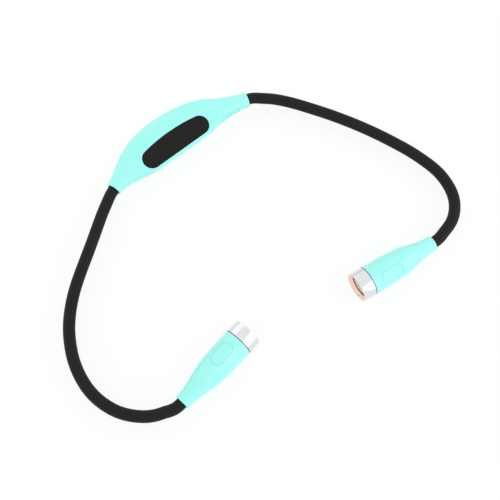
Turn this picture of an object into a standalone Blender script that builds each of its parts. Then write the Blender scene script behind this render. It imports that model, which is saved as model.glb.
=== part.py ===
"""A rechargeable neck reading light: a housing, two bendable arms and two lamp heads.

It lies flat as it does on a table. Lengths are in metres and angles in degrees. The origin is the
middle of the flat base of the housing, +Z is up and the arms reach towards -Y.
"""

import math

import bmesh
import bpy
from mathutils import Matrix, Vector

for old in list(bpy.data.objects):
    bpy.data.objects.remove(old, do_unlink=True)

# Clearances and common sizes
CLEARANCE = 0.0003
OVERRUN = 0.004
ARM_SIDES = 12
CORE_SIDES = 6
HEAD_SIDES = 28
INNER_SIDES = 20
BOSS_SIDES = 14

# Sleeve, gooseneck core and lead of an arm
ARM_LENGTH = 0.201
SLEEVE_RADIUS = 0.00377
SLEEVE_BORE_RADIUS = 0.0026
CORE_RADIUS = 0.0023
CORE_BORE_RADIUS = 0.0013
LEAD_RADIUS = 0.0008
SLEEVE_INSERT = 0.007
FERRULE_RADIUS = 0.0039
FERRULE_LENGTH = 0.005
STATION_STRAIGHT = 0.005
RING_STEP = 0.0062
STATION_SHARES = (0.07, 0.32, 0.57, 0.80)
LEFT_HEADINGS = (-145, -141, -145, -142, -131, -126, -110, -89, -86, -59, -30, -24, 10)
RIGHT_HEADINGS = (-44, -58, -56, -61, -65, -67, -71, -82, -84, -115, -159, -163, -187)
BENDS_BETWEEN = 2

# Lamp head, measured along its axis from the mouth that the arm enters
HEAD_LENGTH = 0.0585
HEAD_RADIUS = 0.00985
BEZEL_LENGTH = 0.009
HEAD_SHELL_LENGTH = HEAD_LENGTH - BEZEL_LENGTH
HEAD_MOUTH_RADIUS = 0.0052
HEAD_WALL = 0.0014
HEAD_FLARE_SHARES = (
    (0.00, 0.00), (0.09, 0.03), (0.18, 0.16), (0.31, 0.48), (0.455, 0.80), (0.62, 0.94), (0.80, 0.992),
    (1.00, 1.00),
)
HEAD_ROW_SHARES = (0.07, 0.14, 0.21, 0.28, 0.36, 0.46, 0.58, 0.70, 0.84, 1.00)
HEAD_THROAT_SHARES = (0.46, 0.36)
HEAD_BORE_SHARE = 0.52
LEFT_HEAD_ROLL = -7
RIGHT_HEAD_ROLL = -32

# Housing
HOUSING_HALF_CHORD = 0.0555
HOUSING_SAG = 0.0104
HOUSING_HALF_WIDTH = 0.0156
HOUSING_CREST = 0.0082
HOUSING_WALL = 0.0018
BELLY_OFFSET = -0.003
MOUTH_RADIUS = 0.0052
PARTING_HEIGHT = HEAD_RADIUS
SPINE_SHARES = (
    (-1.12, 1.25), (-1.00, 1.00), (-0.88, 0.735), (-0.76, 0.525), (-0.60, 0.335), (-0.40, 0.175), (-0.20, 0.07),
    (-0.05, 0.05), (0.10, 0.08), (0.25, 0.14), (0.40, 0.245), (0.55, 0.40), (0.70, 0.575), (0.85, 0.785),
    (1.00, 1.00), (1.15, 1.22),
)
WIDTH_SHARES = (
    (-1.00, 0.00), (-0.94, 0.04), (-0.87, 0.13), (-0.78, 0.30), (-0.66, 0.55), (-0.54, 0.76), (-0.40, 0.905),
    (-0.22, 0.985), (-0.04, 1.00), (0.14, 0.955), (0.30, 0.865), (0.44, 0.69), (0.54, 0.49), (0.64, 0.275),
    (0.74, 0.13), (0.86, 0.04), (1.00, 0.00),
)
HEIGHT_SHARES = (
    (0.00, 1.00), (0.42, 1.00), (0.56, 0.94), (0.69, 0.70), (0.81, 0.36), (0.92, 0.07), (1.00, 0.00),
)
STATION_ROW_SHARES = (
    0.00, 0.14, 0.28, 0.42, 0.50, 0.56, 0.62, 0.68, 0.74, 0.80, 0.86, 0.93, 1.00,
)
TOP_SHARES = (
    (1.00, 0.00), (0.985, 0.26), (0.93, 0.52), (0.82, 0.76), (0.65, 0.93), (0.46, 1.00), (0.29, 0.975),
    (0.15, 0.90), (0.03, 0.81), (-0.28, 0.65), (-0.60, 0.485), (-0.86, 0.35), (-0.94, 0.29), (-0.985, 0.17),
    (-1.00, 0.00),
)
FACET_OUTER, FACET_INNER = 8, 12
BASE_SHARES = (
    (-1.00, 0.00), (-0.975, -0.22), (-0.915, -0.46), (-0.81, -0.70), (-0.66, -0.89), (-0.50, -0.98),
    (-0.40, -1.00), (0.00, -1.00), (0.44, -1.00), (0.57, -0.975), (0.73, -0.87), (0.87, -0.67), (0.955, -0.42),
    (0.99, -0.20), (1.00, 0.00),
)

# Grip pad in its pocket on the sloping face of the housing
PAD_HALF_LENGTH_SHARE = 0.465
PAD_HALF_WIDTH = 0.0071
PAD_END_RADIUS = 0.0062
PAD_THICKNESS = 0.0007
POCKET_DEPTH = 0.0011
POCKET_WALL = 0.0008
POCKET_FLOOR = 0.0009

# Battery, foam and charging board
BATTERY_LENGTH_SHARE = 0.685
BATTERY_PLACE_SHARE = -0.09
BATTERY_WIDTH = 0.013
BATTERY_THICKNESS = 0.008
BATTERY_EDGE = 0.0015
BATTERY_Y = -0.0015
FOAM_THICKNESS = 0.0008
FOAM_MARGIN = 0.001
BOARD_LENGTH_SHARE = 0.342
BOARD_SHIFT_SHARE = -0.09
BOARD_DEPTH = 0.0064
BOARD_THICKNESS = 0.001
BOARD_SETBACK = 0.0032
CHIP_LENGTH = 0.004
CHIP_HEIGHT = 0.0012
BATTERY_LEAD_RADIUS = 0.0006
BATTERY_LEAD_PITCH = 0.0022
BATTERY_LEAD_INSET = 0.004

# Charging port and its rubber cover
PORT_SETBACK = 0.01593
PORT_DROP = 0.0004
PORT_REACH = 0.0075
SOCKET_WIDTH = 0.0075
SOCKET_HEIGHT = 0.0027
SOCKET_DEPTH = 0.0053
SOCKET_WALL = 0.00035
SOCKET_TONGUE = 0.0006
SOCKET_SLOT_DEPTH = 0.0042
COVER_LENGTH = 0.0112
COVER_HEIGHT = 0.0062
COVER_CORNER = 0.0012
COVER_THICKNESS = 0.0008
COVER_HINGE_SETBACK = 0.0071
PLUG_LENGTH = 0.008
PLUG_HEIGHT = 0.0030
PLUG_DEPTH = 0.0009
INDICATOR_LENGTH = 0.0016
INDICATOR_WIDTH = 0.0008
INDICATOR_HEIGHT = 0.0007
INDICATOR_SETBACK = 0.00095

# Case screws
SCREW_HEAD_RADIUS = 0.0016
SCREW_HEAD_HEIGHT = 0.0012
SCREW_SHANK_RADIUS = 0.001
SCREW_BELOW_PARTING = 0.0042
SCREW_ABOVE_PARTING = 0.003
SCREW_CROSS_WIDTH = 0.0005
SCREW_CROSS_LENGTH = 0.0018
SCREW_CROSS_DEPTH = 0.0006
BOSS_WALL = 0.0008
BOSS_SINK = 0.0009
SCREW_PLACE_SHARES = {"left": -0.5315, "rear_left": -0.2613, "rear_right": 0.1171, "right": 0.3423}
SCREW_OFFSETS = {"left": 0.0025, "rear_left": 0.0084, "rear_right": 0.0084, "right": 0.0050}

# Push button, its switch and the lamp parts of a head
BUTTON_LENGTH_SHARE = 0.313
BUTTON_SETBACK = 0.00155
BUTTON_WIDTH = 0.0076
BUTTON_PROUD = 0.00015
BUTTON_DEPTH = 0.0035
BUTTON_TRAVEL = 0.00055
BUTTON_TAB_REACH = 0.001
BUTTON_TAB_WIDTH = 0.004
BUTTON_TAB_HEIGHT = 0.00045
BUTTON_RING_RADIUS = 0.0021
BUTTON_RING_WIDTH = 0.0006
BUTTON_RING_DEPTH = 0.0003
SWITCH_SIDE = 0.0045
SWITCH_HEIGHT = 0.0012
SWITCH_PLUNGER_RADIUS = 0.001
SWITCH_PLUNGER_HEIGHT = 0.00045
SWITCH_BOARD_SHARE = 0.267
HEAD_LEDGE_WIDTH = 0.00105
FRONT_BORE_DEPTH = 0.0040
LED_BOARD_THICKNESS = 0.0012
LED_BOARD_MARGIN = 0.00036
LED_RADIUS = 0.0030
LED_THICKNESS = 0.0008
LED_DOME_RADIUS = 0.0024
LED_EDGE = 0.00027
GASKET_THICKNESS = 0.0004
GASKET_SETBACK = 0.0002
BEZEL_SKIRT_WALL = 0.0006
BEZEL_TAPER = 0.00025
BEZEL_RIM = 0.0007
BEZEL_CHAMFER = 0.0003
BEZEL_RECESS = 0.0024
BEZEL_LIP = 0.0004
LENS_THICKNESS = 0.0016
LENS_SHOULDER = 0.0003
LENS_DOME = 0.0004
REFLECTOR_WALL = 0.0005
REFLECTOR_BELLY_SHARE = 0.68
REFLECTOR_MIDDLE_SHARE = 0.42
HEAD_LEAD_SHARE = 0.7


def finish(name, colour, roughness, metallic=0.0):
    """A Principled material."""
    material = bpy.data.materials.new(name)
    material.use_nodes = True
    shader = material.node_tree.nodes["Principled BSDF"]
    shader.inputs["Base Color"].default_value = (*colour, 1)
    shader.inputs["Roughness"].default_value = roughness
    shader.inputs["Metallic"].default_value = metallic
    return material


TURQUOISE = finish("turquoise_gloss_plastic", (0.36, 0.93, 0.88), 0.22)
SLEEVE_RUBBER = finish("black_sleeve_rubber", (0.025, 0.025, 0.028), 0.7)
PAD_RUBBER = finish("black_pad_rubber", (0.02, 0.02, 0.022), 0.85)
STEEL = finish("bright_steel", (0.62, 0.62, 0.64), 0.3, 1.0)
BEZEL_METAL = finish("polished_aluminium", (0.88, 0.88, 0.9), 0.12, 1.0)
REFLECTOR_METAL = finish("metallised_plastic", (0.92, 0.92, 0.92), 0.08, 1.0)
LENS_CLEAR = finish("clear_lens", (0.95, 0.95, 0.93), 0.05)
PHOSPHOR = finish("led_phosphor", (0.95, 0.62, 0.3), 0.5)
BOARD_GREEN = finish("green_board", (0.02, 0.16, 0.07), 0.5)
BOARD_WHITE = finish("white_board", (0.85, 0.85, 0.83), 0.5)
BLACK_PLASTIC = finish("black_plastic", (0.03, 0.03, 0.03), 0.5)
BATTERY_WRAP = finish("battery_wrap", (0.55, 0.57, 0.6), 0.35, 0.6)
FOAM = finish("grey_foam", (0.2, 0.2, 0.2), 0.95)
LEAD_BLACK = finish("black_lead", (0.02, 0.02, 0.02), 0.5)
LEAD_RED = finish("red_lead", (0.6, 0.03, 0.02), 0.5)


def smooth_share(table, place):
    """Reads a table of (place, value) shares with a smooth curve through its points."""
    places = [p for p, _ in table]
    values = [v for _, v in table]
    slopes = []
    for i in range(len(table)):
        low, high = max(i - 1, 0), min(i + 1, len(table) - 1)
        slopes.append((values[high] - values[low]) / (places[high] - places[low]))
    slopes[0] = slopes[-1] = 0.0
    for i, (start, end) in enumerate(zip(values, values[1:])):
        if start == end:
            slopes[i] = slopes[i + 1] = 0.0
    place = min(max(place, places[0]), places[-1])
    for i in range(len(table) - 1):
        if place <= places[i + 1]:
            break
    span = places[i + 1] - places[i]
    t = (place - places[i]) / span
    return (
        (2 * t**3 - 3 * t**2 + 1) * values[i]
        + (t**3 - 2 * t**2 + t) * span * slopes[i]
        + (3 * t**2 - 2 * t**3) * values[i + 1]
        + (t**3 - t**2) * span * slopes[i + 1]
    )


def empty(name, parent=None, matrix=None):
    """A joint or a frame that pieces hang on. It isn't a piece itself."""
    holder = bpy.data.objects.new(name, None)
    holder.empty_display_size = SLEEVE_RADIUS
    bpy.context.scene.collection.objects.link(holder)
    holder.parent = parent
    holder.matrix_local = matrix or Matrix()
    return holder


def solid(name, rings, material, parent, cyclic=False, place=None, sharp=40):
    """Joins rings of points into one closed body. A ring of one point is a pole.

    The rings close on to the first one when cyclic is set, and otherwise their ends get a face.
    """
    mesh = bpy.data.meshes.new(name)
    work = bmesh.new()
    made = [[work.verts.new(point) for point in ring] for ring in rings]
    pairs = list(zip(made, made[1:]))
    if cyclic:
        pairs.append((made[-1], made[0]))
    for first, second in pairs:
        count = max(len(first), len(second))
        for i in range(count):
            j = (i + 1) % count
            if len(first) == 1:
                work.faces.new((first[0], second[i], second[j]))
            elif len(second) == 1:
                work.faces.new((first[i], second[0], first[j]))
            else:
                work.faces.new((first[i], second[i], second[j], first[j]))
    if not cyclic:
        for ring in (made[0], made[-1]):
            if len(ring) > 2:
                work.faces.new(ring)
    bmesh.ops.recalc_face_normals(work, faces=work.faces)
    work.to_mesh(mesh)
    work.free()
    mesh.materials.append(material)
    mesh.shade_smooth()
    mesh.set_sharp_from_angle(angle=math.radians(sharp))
    made_object = bpy.data.objects.new(name, mesh)
    bpy.context.scene.collection.objects.link(made_object)
    made_object.parent = parent
    made_object.matrix_local = place or Matrix()
    return made_object


def turned(name, profile, sides, material, parent, place=None):
    """A body of revolution about its own +X, from (along, radius) pairs that may touch the axis at the ends."""
    rings = []
    for along, radius in profile:
        if radius == 0:
            rings.append([Vector((along, 0, 0))])
            continue
        ring = []
        for i in range(sides):
            angle = 2 * math.pi * i / sides
            ring.append(Vector((along, radius * math.cos(angle), radius * math.sin(angle))))
        rings.append(ring)
    cyclic = profile[0][1] > 0 and profile[-1][1] > 0
    return solid(name, rings, material, parent, cyclic=cyclic, place=place)


def extruded(name, outline, low, high, material, parent, place=None):
    """A prism of an outline in X and Y, from low to high in Z."""
    rings = [[Vector((x, y, z)) for x, y in outline] for z in (low, high)]
    return solid(name, rings, material, parent, place=place)


def block(name, low, high, material, parent, place=None):
    """A rectangular body between two corners."""
    outline = [(low[0], low[1]), (high[0], low[1]), (high[0], high[1]), (low[0], high[1])]
    return extruded(name, outline, low[2], high[2], material, parent, place)


def rounded(low, high, width, radius, steps=4):
    """An outline from low to high in X, with rounded corners and its middle on the X axis."""
    points = []
    corners = (
        (high - radius, width / 2 - radius, 0), (low + radius, width / 2 - radius, 90),
        (low + radius, radius - width / 2, 180), (high - radius, radius - width / 2, 270),
    )
    for x, y, start in corners:
        for i in range(steps + 1):
            angle = math.radians(start + 90 * i / steps)
            point = (x + radius * math.cos(angle), y + radius * math.sin(angle))
            if not points or math.dist(point, points[-1]) > radius / 1000:
                points.append(point)
    return points if math.dist(points[0], points[-1]) > radius / 1000 else points[:-1]


def racetrack(length, width):
    """An outline with straight sides and round ends, along X."""
    return rounded(-length / 2, length / 2, width, width / 2)


def bevel(target, width, segments=2):
    """Rounds the edges of a body."""
    modifier = target.modifiers.new("rounded_edges", "BEVEL")
    modifier.width = width
    modifier.segments = segments
    modifier.limit_method = "ANGLE"
    return target


def boolean(target, tool, operation):
    """Cuts a tool from a body, keeps what they share, or joins the tool to it."""
    tool.hide_render = True
    tool.display_type = "WIRE"
    modifier = target.modifiers.new(operation.lower(), "BOOLEAN")
    modifier.operation = operation
    modifier.solver = "EXACT"
    modifier.object = tool
    return target


def along_x(direction, up=Vector((0, 0, 1))):
    """A rotation whose +X is the direction and whose +Z is as near to up as it can be."""
    forward = Vector(direction).normalized()
    side = Vector(up).cross(forward).normalized()
    return Matrix((forward, side, forward.cross(side))).transposed().to_4x4()


# The housing is lofted along a shallow curve from one mouth to the other


def spine(x):
    """The middle of the housing at x, its direction of travel and the direction of its outer side."""
    rise = -HOUSING_SAG * smooth_share(SPINE_SHARES, x / HOUSING_HALF_CHORD)
    before = smooth_share(SPINE_SHARES, (x - CLEARANCE) / HOUSING_HALF_CHORD)
    after = smooth_share(SPINE_SHARES, (x + CLEARANCE) / HOUSING_HALF_CHORD)
    travel = Vector((2 * CLEARANCE, HOUSING_SAG * (before - after), 0)).normalized()
    outer = Vector((-travel.y, travel.x, 0))
    return Vector((x, rise, PARTING_HEIGHT)), travel, outer


def belly_share(x):
    """How far x lies from the middle of the belly towards the nearer mouth."""
    if x > BELLY_OFFSET:
        return (x - BELLY_OFFSET) / (HOUSING_HALF_CHORD - BELLY_OFFSET)
    return (BELLY_OFFSET - x) / (HOUSING_HALF_CHORD + BELLY_OFFSET)


def housing_half_width(x):
    share = smooth_share(WIDTH_SHARES, x / HOUSING_HALF_CHORD)
    return MOUTH_RADIUS + (HOUSING_HALF_WIDTH - MOUTH_RADIUS) * share


def housing_height(x, full):
    return MOUTH_RADIUS + (full - MOUTH_RADIUS) * smooth_share(HEIGHT_SHARES, belly_share(x))


def housing_wall(x):
    mouth_wall = MOUTH_RADIUS - SLEEVE_RADIUS - CLEARANCE
    return mouth_wall + (HOUSING_WALL - mouth_wall) * smooth_share(HEIGHT_SHARES, belly_share(x))


def section_point(x, shares, index, full, inset=0.0):
    """One point of the section of the housing at x, inset from its outer surface."""
    centre, _, outer = spine(x)
    morph = smooth_share(HEIGHT_SHARES, belly_share(x))
    start = 0 if shares is TOP_SHARES else math.pi
    angle = start + math.pi * index / (len(shares) - 1)
    across = (1 - morph) * math.cos(angle) + morph * shares[index][0]
    up = (1 - morph) * math.sin(angle) + morph * shares[index][1]
    if index in (0, len(shares) - 1):
        up = 0.0
        lift = CLEARANCE / 2 if shares is TOP_SHARES else -CLEARANCE / 2
    else:
        lift = 0.0
    width = housing_half_width(x) - inset
    height = housing_height(x, full) - inset
    return centre + outer * across * width + Vector((0, 0, up * height + lift))


def housing_rows():
    """The places along the housing where it is lofted."""
    to_left, to_right = HOUSING_HALF_CHORD + BELLY_OFFSET, HOUSING_HALF_CHORD - BELLY_OFFSET
    left = [BELLY_OFFSET - share * to_left for share in STATION_ROW_SHARES[:0:-1]]
    right = [BELLY_OFFSET + share * to_right for share in STATION_ROW_SHARES]
    return left + right


def housing_shell(name, shares, full, parent):
    """Half of the housing, hollow, with a mouth at each end."""
    rings = []
    for x in housing_rows():
        count = range(len(shares))
        outside = [section_point(x, shares, i, full) for i in count]
        inside = [section_point(x, shares, i, full, housing_wall(x)) for i in reversed(count)]
        rings.append(outside + inside)
    return solid(name, rings, TURQUOISE, parent)


def height_at(x, y, shares, full):
    """The height of the outer surface of the housing over the parting plane at (x, y)."""
    centre, _, outer = spine(x)
    across = (y - centre.y) / outer.y
    points = [section_point(x, shares, i, full) - centre for i in range(len(shares))]
    flat = sorted((point.dot(outer), point.z) for point in points)
    for (low, low_z), (high, high_z) in zip(flat, flat[1:]):
        if low <= across <= high:
            return low_z + (high_z - low_z) * (across - low) / (high - low)
    return 0.0


def housing_core(name, inset):
    """The whole housing as one body, inset from its outer surface."""
    rings = []
    for x in housing_rows():
        top = [section_point(x, TOP_SHARES, i, HOUSING_CREST, inset) for i in range(len(TOP_SHARES))]
        base = [section_point(x, BASE_SHARES, i, PARTING_HEIGHT, inset) for i in range(len(BASE_SHARES))]
        rings.append(top + base)
    return solid(name, rings, TURQUOISE, housing)


housing = empty("housing_frame")
upper_shell = housing_shell("upper_shell", TOP_SHARES, HOUSING_CREST, housing)
lower_shell = housing_shell("lower_shell", BASE_SHARES, PARTING_HEIGHT, housing)

# The pad lies in a pocket on the sloping face, which runs down to the inner side
pad_half_length = PAD_HALF_LENGTH_SHARE * HOUSING_HALF_CHORD
facet_outer = section_point(BELLY_OFFSET, TOP_SHARES, FACET_OUTER, HOUSING_CREST)
facet_inner = section_point(BELLY_OFFSET, TOP_SHARES, FACET_INNER, HOUSING_CREST)
facet_up = Vector((1, 0, 0)).cross(facet_outer - facet_inner).normalized()
facet_place = Matrix.Translation((facet_outer + facet_inner) / 2) @ along_x((1, 0, 0), facet_up)


def pad_outline(margin, steps=7):
    """A long outline with round ends, a straight inner side and an arched outer side."""
    end = PAD_END_RADIUS + margin
    reach = pad_half_length - PAD_END_RADIUS
    low = PAD_END_RADIUS - PAD_HALF_WIDTH
    rise = PAD_HALF_WIDTH - low
    arch = (reach**2 + rise**2 - PAD_END_RADIUS**2) / (2 * (rise - PAD_END_RADIUS))
    lean = math.asin(reach / (arch - PAD_END_RADIUS))
    points = []
    for i in range(steps + 1):
        angle = -math.pi / 2 + (math.pi - lean) * i / steps
        points.append((reach + end * math.cos(angle), low + end * math.sin(angle)))
    for i in range(1, steps):
        angle = math.pi / 2 - lean + 2 * lean * i / steps
        radius = arch + margin
        points.append((radius * math.cos(angle), PAD_HALF_WIDTH - arch + radius * math.sin(angle)))
    for i in range(steps + 1):
        angle = math.pi / 2 + lean + (math.pi - lean) * i / steps
        points.append((-reach + end * math.cos(angle), low + end * math.sin(angle)))
    return points


pad_floor = CLEARANCE - POCKET_DEPTH
pad_top = pad_floor + PAD_THICKNESS
extruded("grip_pad", pad_outline(-CLEARANCE), pad_floor, pad_top, PAD_RUBBER, housing, facet_place)

# The wall is thicker under the pocket, so that the pocket has a floor
tray = extruded(
    "pocket_tray", pad_outline(POCKET_WALL), -POCKET_DEPTH - POCKET_FLOOR, 0, TURQUOISE, housing, facet_place,
)
boolean(tray, housing_core("tray_limit", HOUSING_WALL / 2), "INTERSECT")
boolean(upper_shell, tray, "UNION")

# Four screws hold the two shells together from below
boss_bore = SCREW_SHANK_RADIUS + CLEARANCE
counterbore = SCREW_HEAD_RADIUS + CLEARANCE
DOWN = along_x((0, 0, -1), (0, 1, 0))


def screw_place(side):
    return SCREW_PLACE_SHARES[side] * HOUSING_HALF_CHORD, SCREW_OFFSETS[side]


def screw(name, x, y):
    """A boss in each shell, the bores through them and the screw itself."""
    roof = height_at(x, y, TOP_SHARES, HOUSING_CREST) - BOSS_SINK
    floor = -height_at(x, y, BASE_SHARES, PARTING_HEIGHT) - BOSS_SINK
    place = Matrix.Translation((x, y, PARTING_HEIGHT)) @ DOWN
    upper_radius, lower_radius = boss_bore + BOSS_WALL, counterbore + BOSS_WALL
    upper_profile = [(-roof, 0), (-roof, upper_radius), (-CLEARANCE, upper_radius), (-CLEARANCE, 0)]
    lower_profile = [(CLEARANCE, 0), (CLEARANCE, lower_radius), (floor, lower_radius), (floor, 0)]
    upper_boss = turned(name + "_upper_boss", upper_profile, BOSS_SIDES, TURQUOISE, housing, place)
    lower_boss = turned(name + "_lower_boss", lower_profile, BOSS_SIDES, TURQUOISE, housing, place)
    boolean(upper_shell, upper_boss, "UNION")
    boolean(lower_shell, lower_boss, "UNION")
    blind = SCREW_ABOVE_PARTING + CLEARANCE
    upper_bore = [(-blind, 0), (-blind, boss_bore), (OVERRUN, boss_bore), (OVERRUN, 0)]
    seat = SCREW_BELOW_PARTING - CLEARANCE
    end = PARTING_HEIGHT + OVERRUN
    lower_bore = [
        (-OVERRUN, 0), (-OVERRUN, boss_bore), (seat, boss_bore), (seat, counterbore), (end, counterbore), (end, 0),
    ]
    upper_tool = turned(name + "_upper_bore", upper_bore, ARM_SIDES, TURQUOISE, housing, place)
    lower_tool = turned(name + "_lower_bore", lower_bore, ARM_SIDES, TURQUOISE, housing, place)
    boolean(upper_shell, upper_tool, "DIFFERENCE")
    boolean(lower_shell, lower_tool, "DIFFERENCE")
    head = SCREW_BELOW_PARTING + SCREW_HEAD_HEIGHT
    profile = [
        (-SCREW_ABOVE_PARTING, 0),
        (-SCREW_ABOVE_PARTING, SCREW_SHANK_RADIUS / 2),
        (-SCREW_ABOVE_PARTING + SCREW_SHANK_RADIUS, SCREW_SHANK_RADIUS),
        (SCREW_BELOW_PARTING, SCREW_SHANK_RADIUS),
        (SCREW_BELOW_PARTING, SCREW_HEAD_RADIUS),
        (head - SCREW_HEAD_HEIGHT / 2, SCREW_HEAD_RADIUS),
        (head, SCREW_HEAD_RADIUS - SCREW_HEAD_HEIGHT / 2),
        (head, 0),
    ]
    body = turned(name, profile, ARM_SIDES, STEEL, housing, place)
    a, b = SCREW_CROSS_WIDTH / 2, SCREW_CROSS_LENGTH / 2
    cross = [
        (a, b), (-a, b), (-a, a), (-b, a), (-b, -a), (-a, -a), (-a, -b), (a, -b), (a, -a), (b, -a), (b, a), (a, a),
    ]
    foot = Matrix.Translation((x, y, PARTING_HEIGHT - head))
    driver = extruded(name + "_cross", cross, -OVERRUN, SCREW_CROSS_DEPTH, STEEL, housing, foot)
    boolean(body, driver, "DIFFERENCE")


for side in SCREW_PLACE_SHARES:
    screw(f"case_screw_{side}", *screw_place(side))
pocket_tool = extruded("pocket_tool", pad_outline(0), -POCKET_DEPTH, OVERRUN, TURQUOISE, housing, facet_place)
boolean(upper_shell, pocket_tool, "DIFFERENCE")

# The charging port sits in the inner wall, near the right mouth
port_x = HOUSING_HALF_CHORD - PORT_SETBACK


def inner_wall(x):
    centre, _, outer = spine(x)
    return centre - outer * housing_half_width(x)


wall_run = (inner_wall(port_x + OVERRUN) - inner_wall(port_x - OVERRUN)).normalized()
port_out = Vector((wall_run.y, -wall_run.x, 0))
port_drop = Vector((0, 0, -PORT_DROP))
port_turn = Matrix((wall_run, Vector((0, 0, 1)), port_out)).transposed().to_4x4()
port_place = Matrix.Translation(inner_wall(port_x) + port_drop) @ port_turn
hinge_spot = port_place.inverted() @ (inner_wall(HOUSING_HALF_CHORD - COVER_HINGE_SETBACK) + port_drop)


def cover_outline(margin):
    low, high = -COVER_LENGTH / 2 - margin, hinge_spot.x + margin
    return rounded(low, high, COVER_HEIGHT + 2 * margin, COVER_CORNER + margin)


seat = cover_outline(CLEARANCE)
seat_tool = extruded("port_seat", seat, -PORT_REACH, OVERRUN, TURQUOISE, housing, port_place)
boolean(seat_tool, housing_core("port_seat_floor", COVER_THICKNESS + CLEARANCE), "DIFFERENCE")
hole_outline = racetrack(PLUG_LENGTH + 2 * CLEARANCE, PLUG_HEIGHT + 2 * CLEARANCE)
hole_end = -HOUSING_WALL - OVERRUN / 2
hole_tool = extruded("port_hole", hole_outline, hole_end, OVERRUN, TURQUOISE, housing, port_place)
for shell in (upper_shell, lower_shell):
    boolean(shell, seat_tool, "DIFFERENCE")
    boolean(shell, hole_tool, "DIFFERENCE")

# The rubber cover follows the wall and swings on a strap at its end nearest the mouth
cover_place = port_place @ Matrix.Translation(hinge_spot)
outline = [(x - hinge_spot.x, y) for x, y in cover_outline(0)]
port_cover = extruded("port_cover", outline, -PORT_REACH, OVERRUN, TURQUOISE, housing, cover_place)
boolean(port_cover, housing_core("cover_skin", 0), "INTERSECT")
boolean(port_cover, housing_core("cover_floor", COVER_THICKNESS), "DIFFERENCE")
plug = extruded(
    "cover_plug", racetrack(PLUG_LENGTH, PLUG_HEIGHT), -COVER_THICKNESS - PLUG_DEPTH, -COVER_THICKNESS / 2,
    TURQUOISE, housing, port_place,
)
boolean(port_cover, plug, "UNION")

# The socket overhangs the edge of the charging board, with its mouth behind the cover
socket_front = -COVER_THICKNESS - PLUG_DEPTH - CLEARANCE
usb_socket = block(
    "usb_socket",
    (-SOCKET_WIDTH / 2, -SOCKET_HEIGHT / 2, socket_front - SOCKET_DEPTH),
    (SOCKET_WIDTH / 2, SOCKET_HEIGHT / 2, socket_front),
    STEEL, housing, port_place,
)
for side in (-1, 1):
    inner, outer_edge = SOCKET_TONGUE / 2, SOCKET_HEIGHT / 2 - SOCKET_WALL
    low, high = sorted((side * inner, side * outer_edge))
    slot = block(
        f"socket_slot_{'low' if side < 0 else 'high'}",
        (SOCKET_WALL - SOCKET_WIDTH / 2, low, socket_front - SOCKET_SLOT_DEPTH),
        (SOCKET_WIDTH / 2 - SOCKET_WALL, high, OVERRUN),
        STEEL, housing, port_place,
    )
    boolean(usb_socket, slot, "DIFFERENCE")

board_top = -SOCKET_HEIGHT / 2 - CLEARANCE
board_length = BOARD_LENGTH_SHARE * HOUSING_HALF_CHORD
board_left = BOARD_SHIFT_SHARE * HOUSING_HALF_CHORD - board_length / 2
charge_board = block(
    "charge_board",
    (board_left, board_top - BOARD_THICKNESS, -BOARD_SETBACK - BOARD_DEPTH),
    (board_left + board_length, board_top, -BOARD_SETBACK),
    BOARD_GREEN, housing, port_place,
)
lamp_left = -SOCKET_WIDTH / 2 - INDICATOR_SETBACK - INDICATOR_LENGTH
chip_left = lamp_left - INDICATOR_WIDTH - CHIP_LENGTH
chip_back = -BOARD_SETBACK - BOARD_DEPTH / 2 - CHIP_LENGTH / 2
chip = block(
    "charge_chip",
    (chip_left, board_top - BOARD_THICKNESS / 2, chip_back),
    (chip_left + CHIP_LENGTH, board_top + CHIP_HEIGHT, chip_back + CHIP_LENGTH),
    BLACK_PLASTIC, housing, port_place,
)
boolean(charge_board, chip, "UNION")
block(
    "charge_indicator_led",
    (lamp_left, board_top + CLEARANCE, -BOARD_SETBACK - INDICATOR_WIDTH),
    (lamp_left + INDICATOR_LENGTH, board_top + CLEARANCE + INDICATOR_HEIGHT, -BOARD_SETBACK),
    BOARD_WHITE, housing, port_place,
)

# The battery lies on a strip of foam in the lower shell
foam_low = HOUSING_WALL + CLEARANCE
battery_low = foam_low + FOAM_THICKNESS + CLEARANCE
battery_x = BATTERY_PLACE_SHARE * HOUSING_HALF_CHORD
battery_place = Matrix.Translation((battery_x, BATTERY_Y, 0))
half_length, half_width = BATTERY_LENGTH_SHARE * HOUSING_HALF_CHORD / 2, BATTERY_WIDTH / 2
bevel(
    block(
        "battery_cell",
        (-half_length, -half_width, battery_low),
        (half_length, half_width, battery_low + BATTERY_THICKNESS),
        BATTERY_WRAP, housing, battery_place,
    ),
    BATTERY_EDGE,
)
block(
    "battery_foam",
    (FOAM_MARGIN - half_length, FOAM_MARGIN * 3 - half_width, foam_low),
    (half_length - FOAM_MARGIN, half_width - FOAM_MARGIN * 3, foam_low + FOAM_THICKNESS),
    FOAM, housing, battery_place,
)


def wire(name, points, radius, material, parent):
    """A round lead through a row of points, eased between them."""
    curve = bpy.data.curves.new(name, "CURVE")
    curve.dimensions = "3D"
    curve.bevel_depth = radius
    curve.bevel_resolution = 1
    curve.use_fill_caps = True
    line = curve.splines.new("POLY")
    line.points.add(len(points) - 1)
    for spot, point in zip(line.points, points):
        spot.co = (*point, 1)
    curve.materials.append(material)
    lead = bpy.data.objects.new(name, curve)
    bpy.context.scene.collection.objects.link(lead)
    lead.parent = parent
    return lead


def eased(points, steps=4):
    """A smooth row of points through the given ones."""
    ends = [2 * points[0] - points[1], *points, 2 * points[-1] - points[-2]]
    row = []
    for a, b, c, d in zip(ends, ends[1:], ends[2:], ends[3:]):
        for i in range(steps):
            t = i / steps
            row.append(
                0.5 * (2 * b + (c - a) * t + (2 * a - 5 * b + 4 * c - d) * t**2 + (3 * b - a - 3 * c + d) * t**3)
            )
    return row + [points[-1]]


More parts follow.
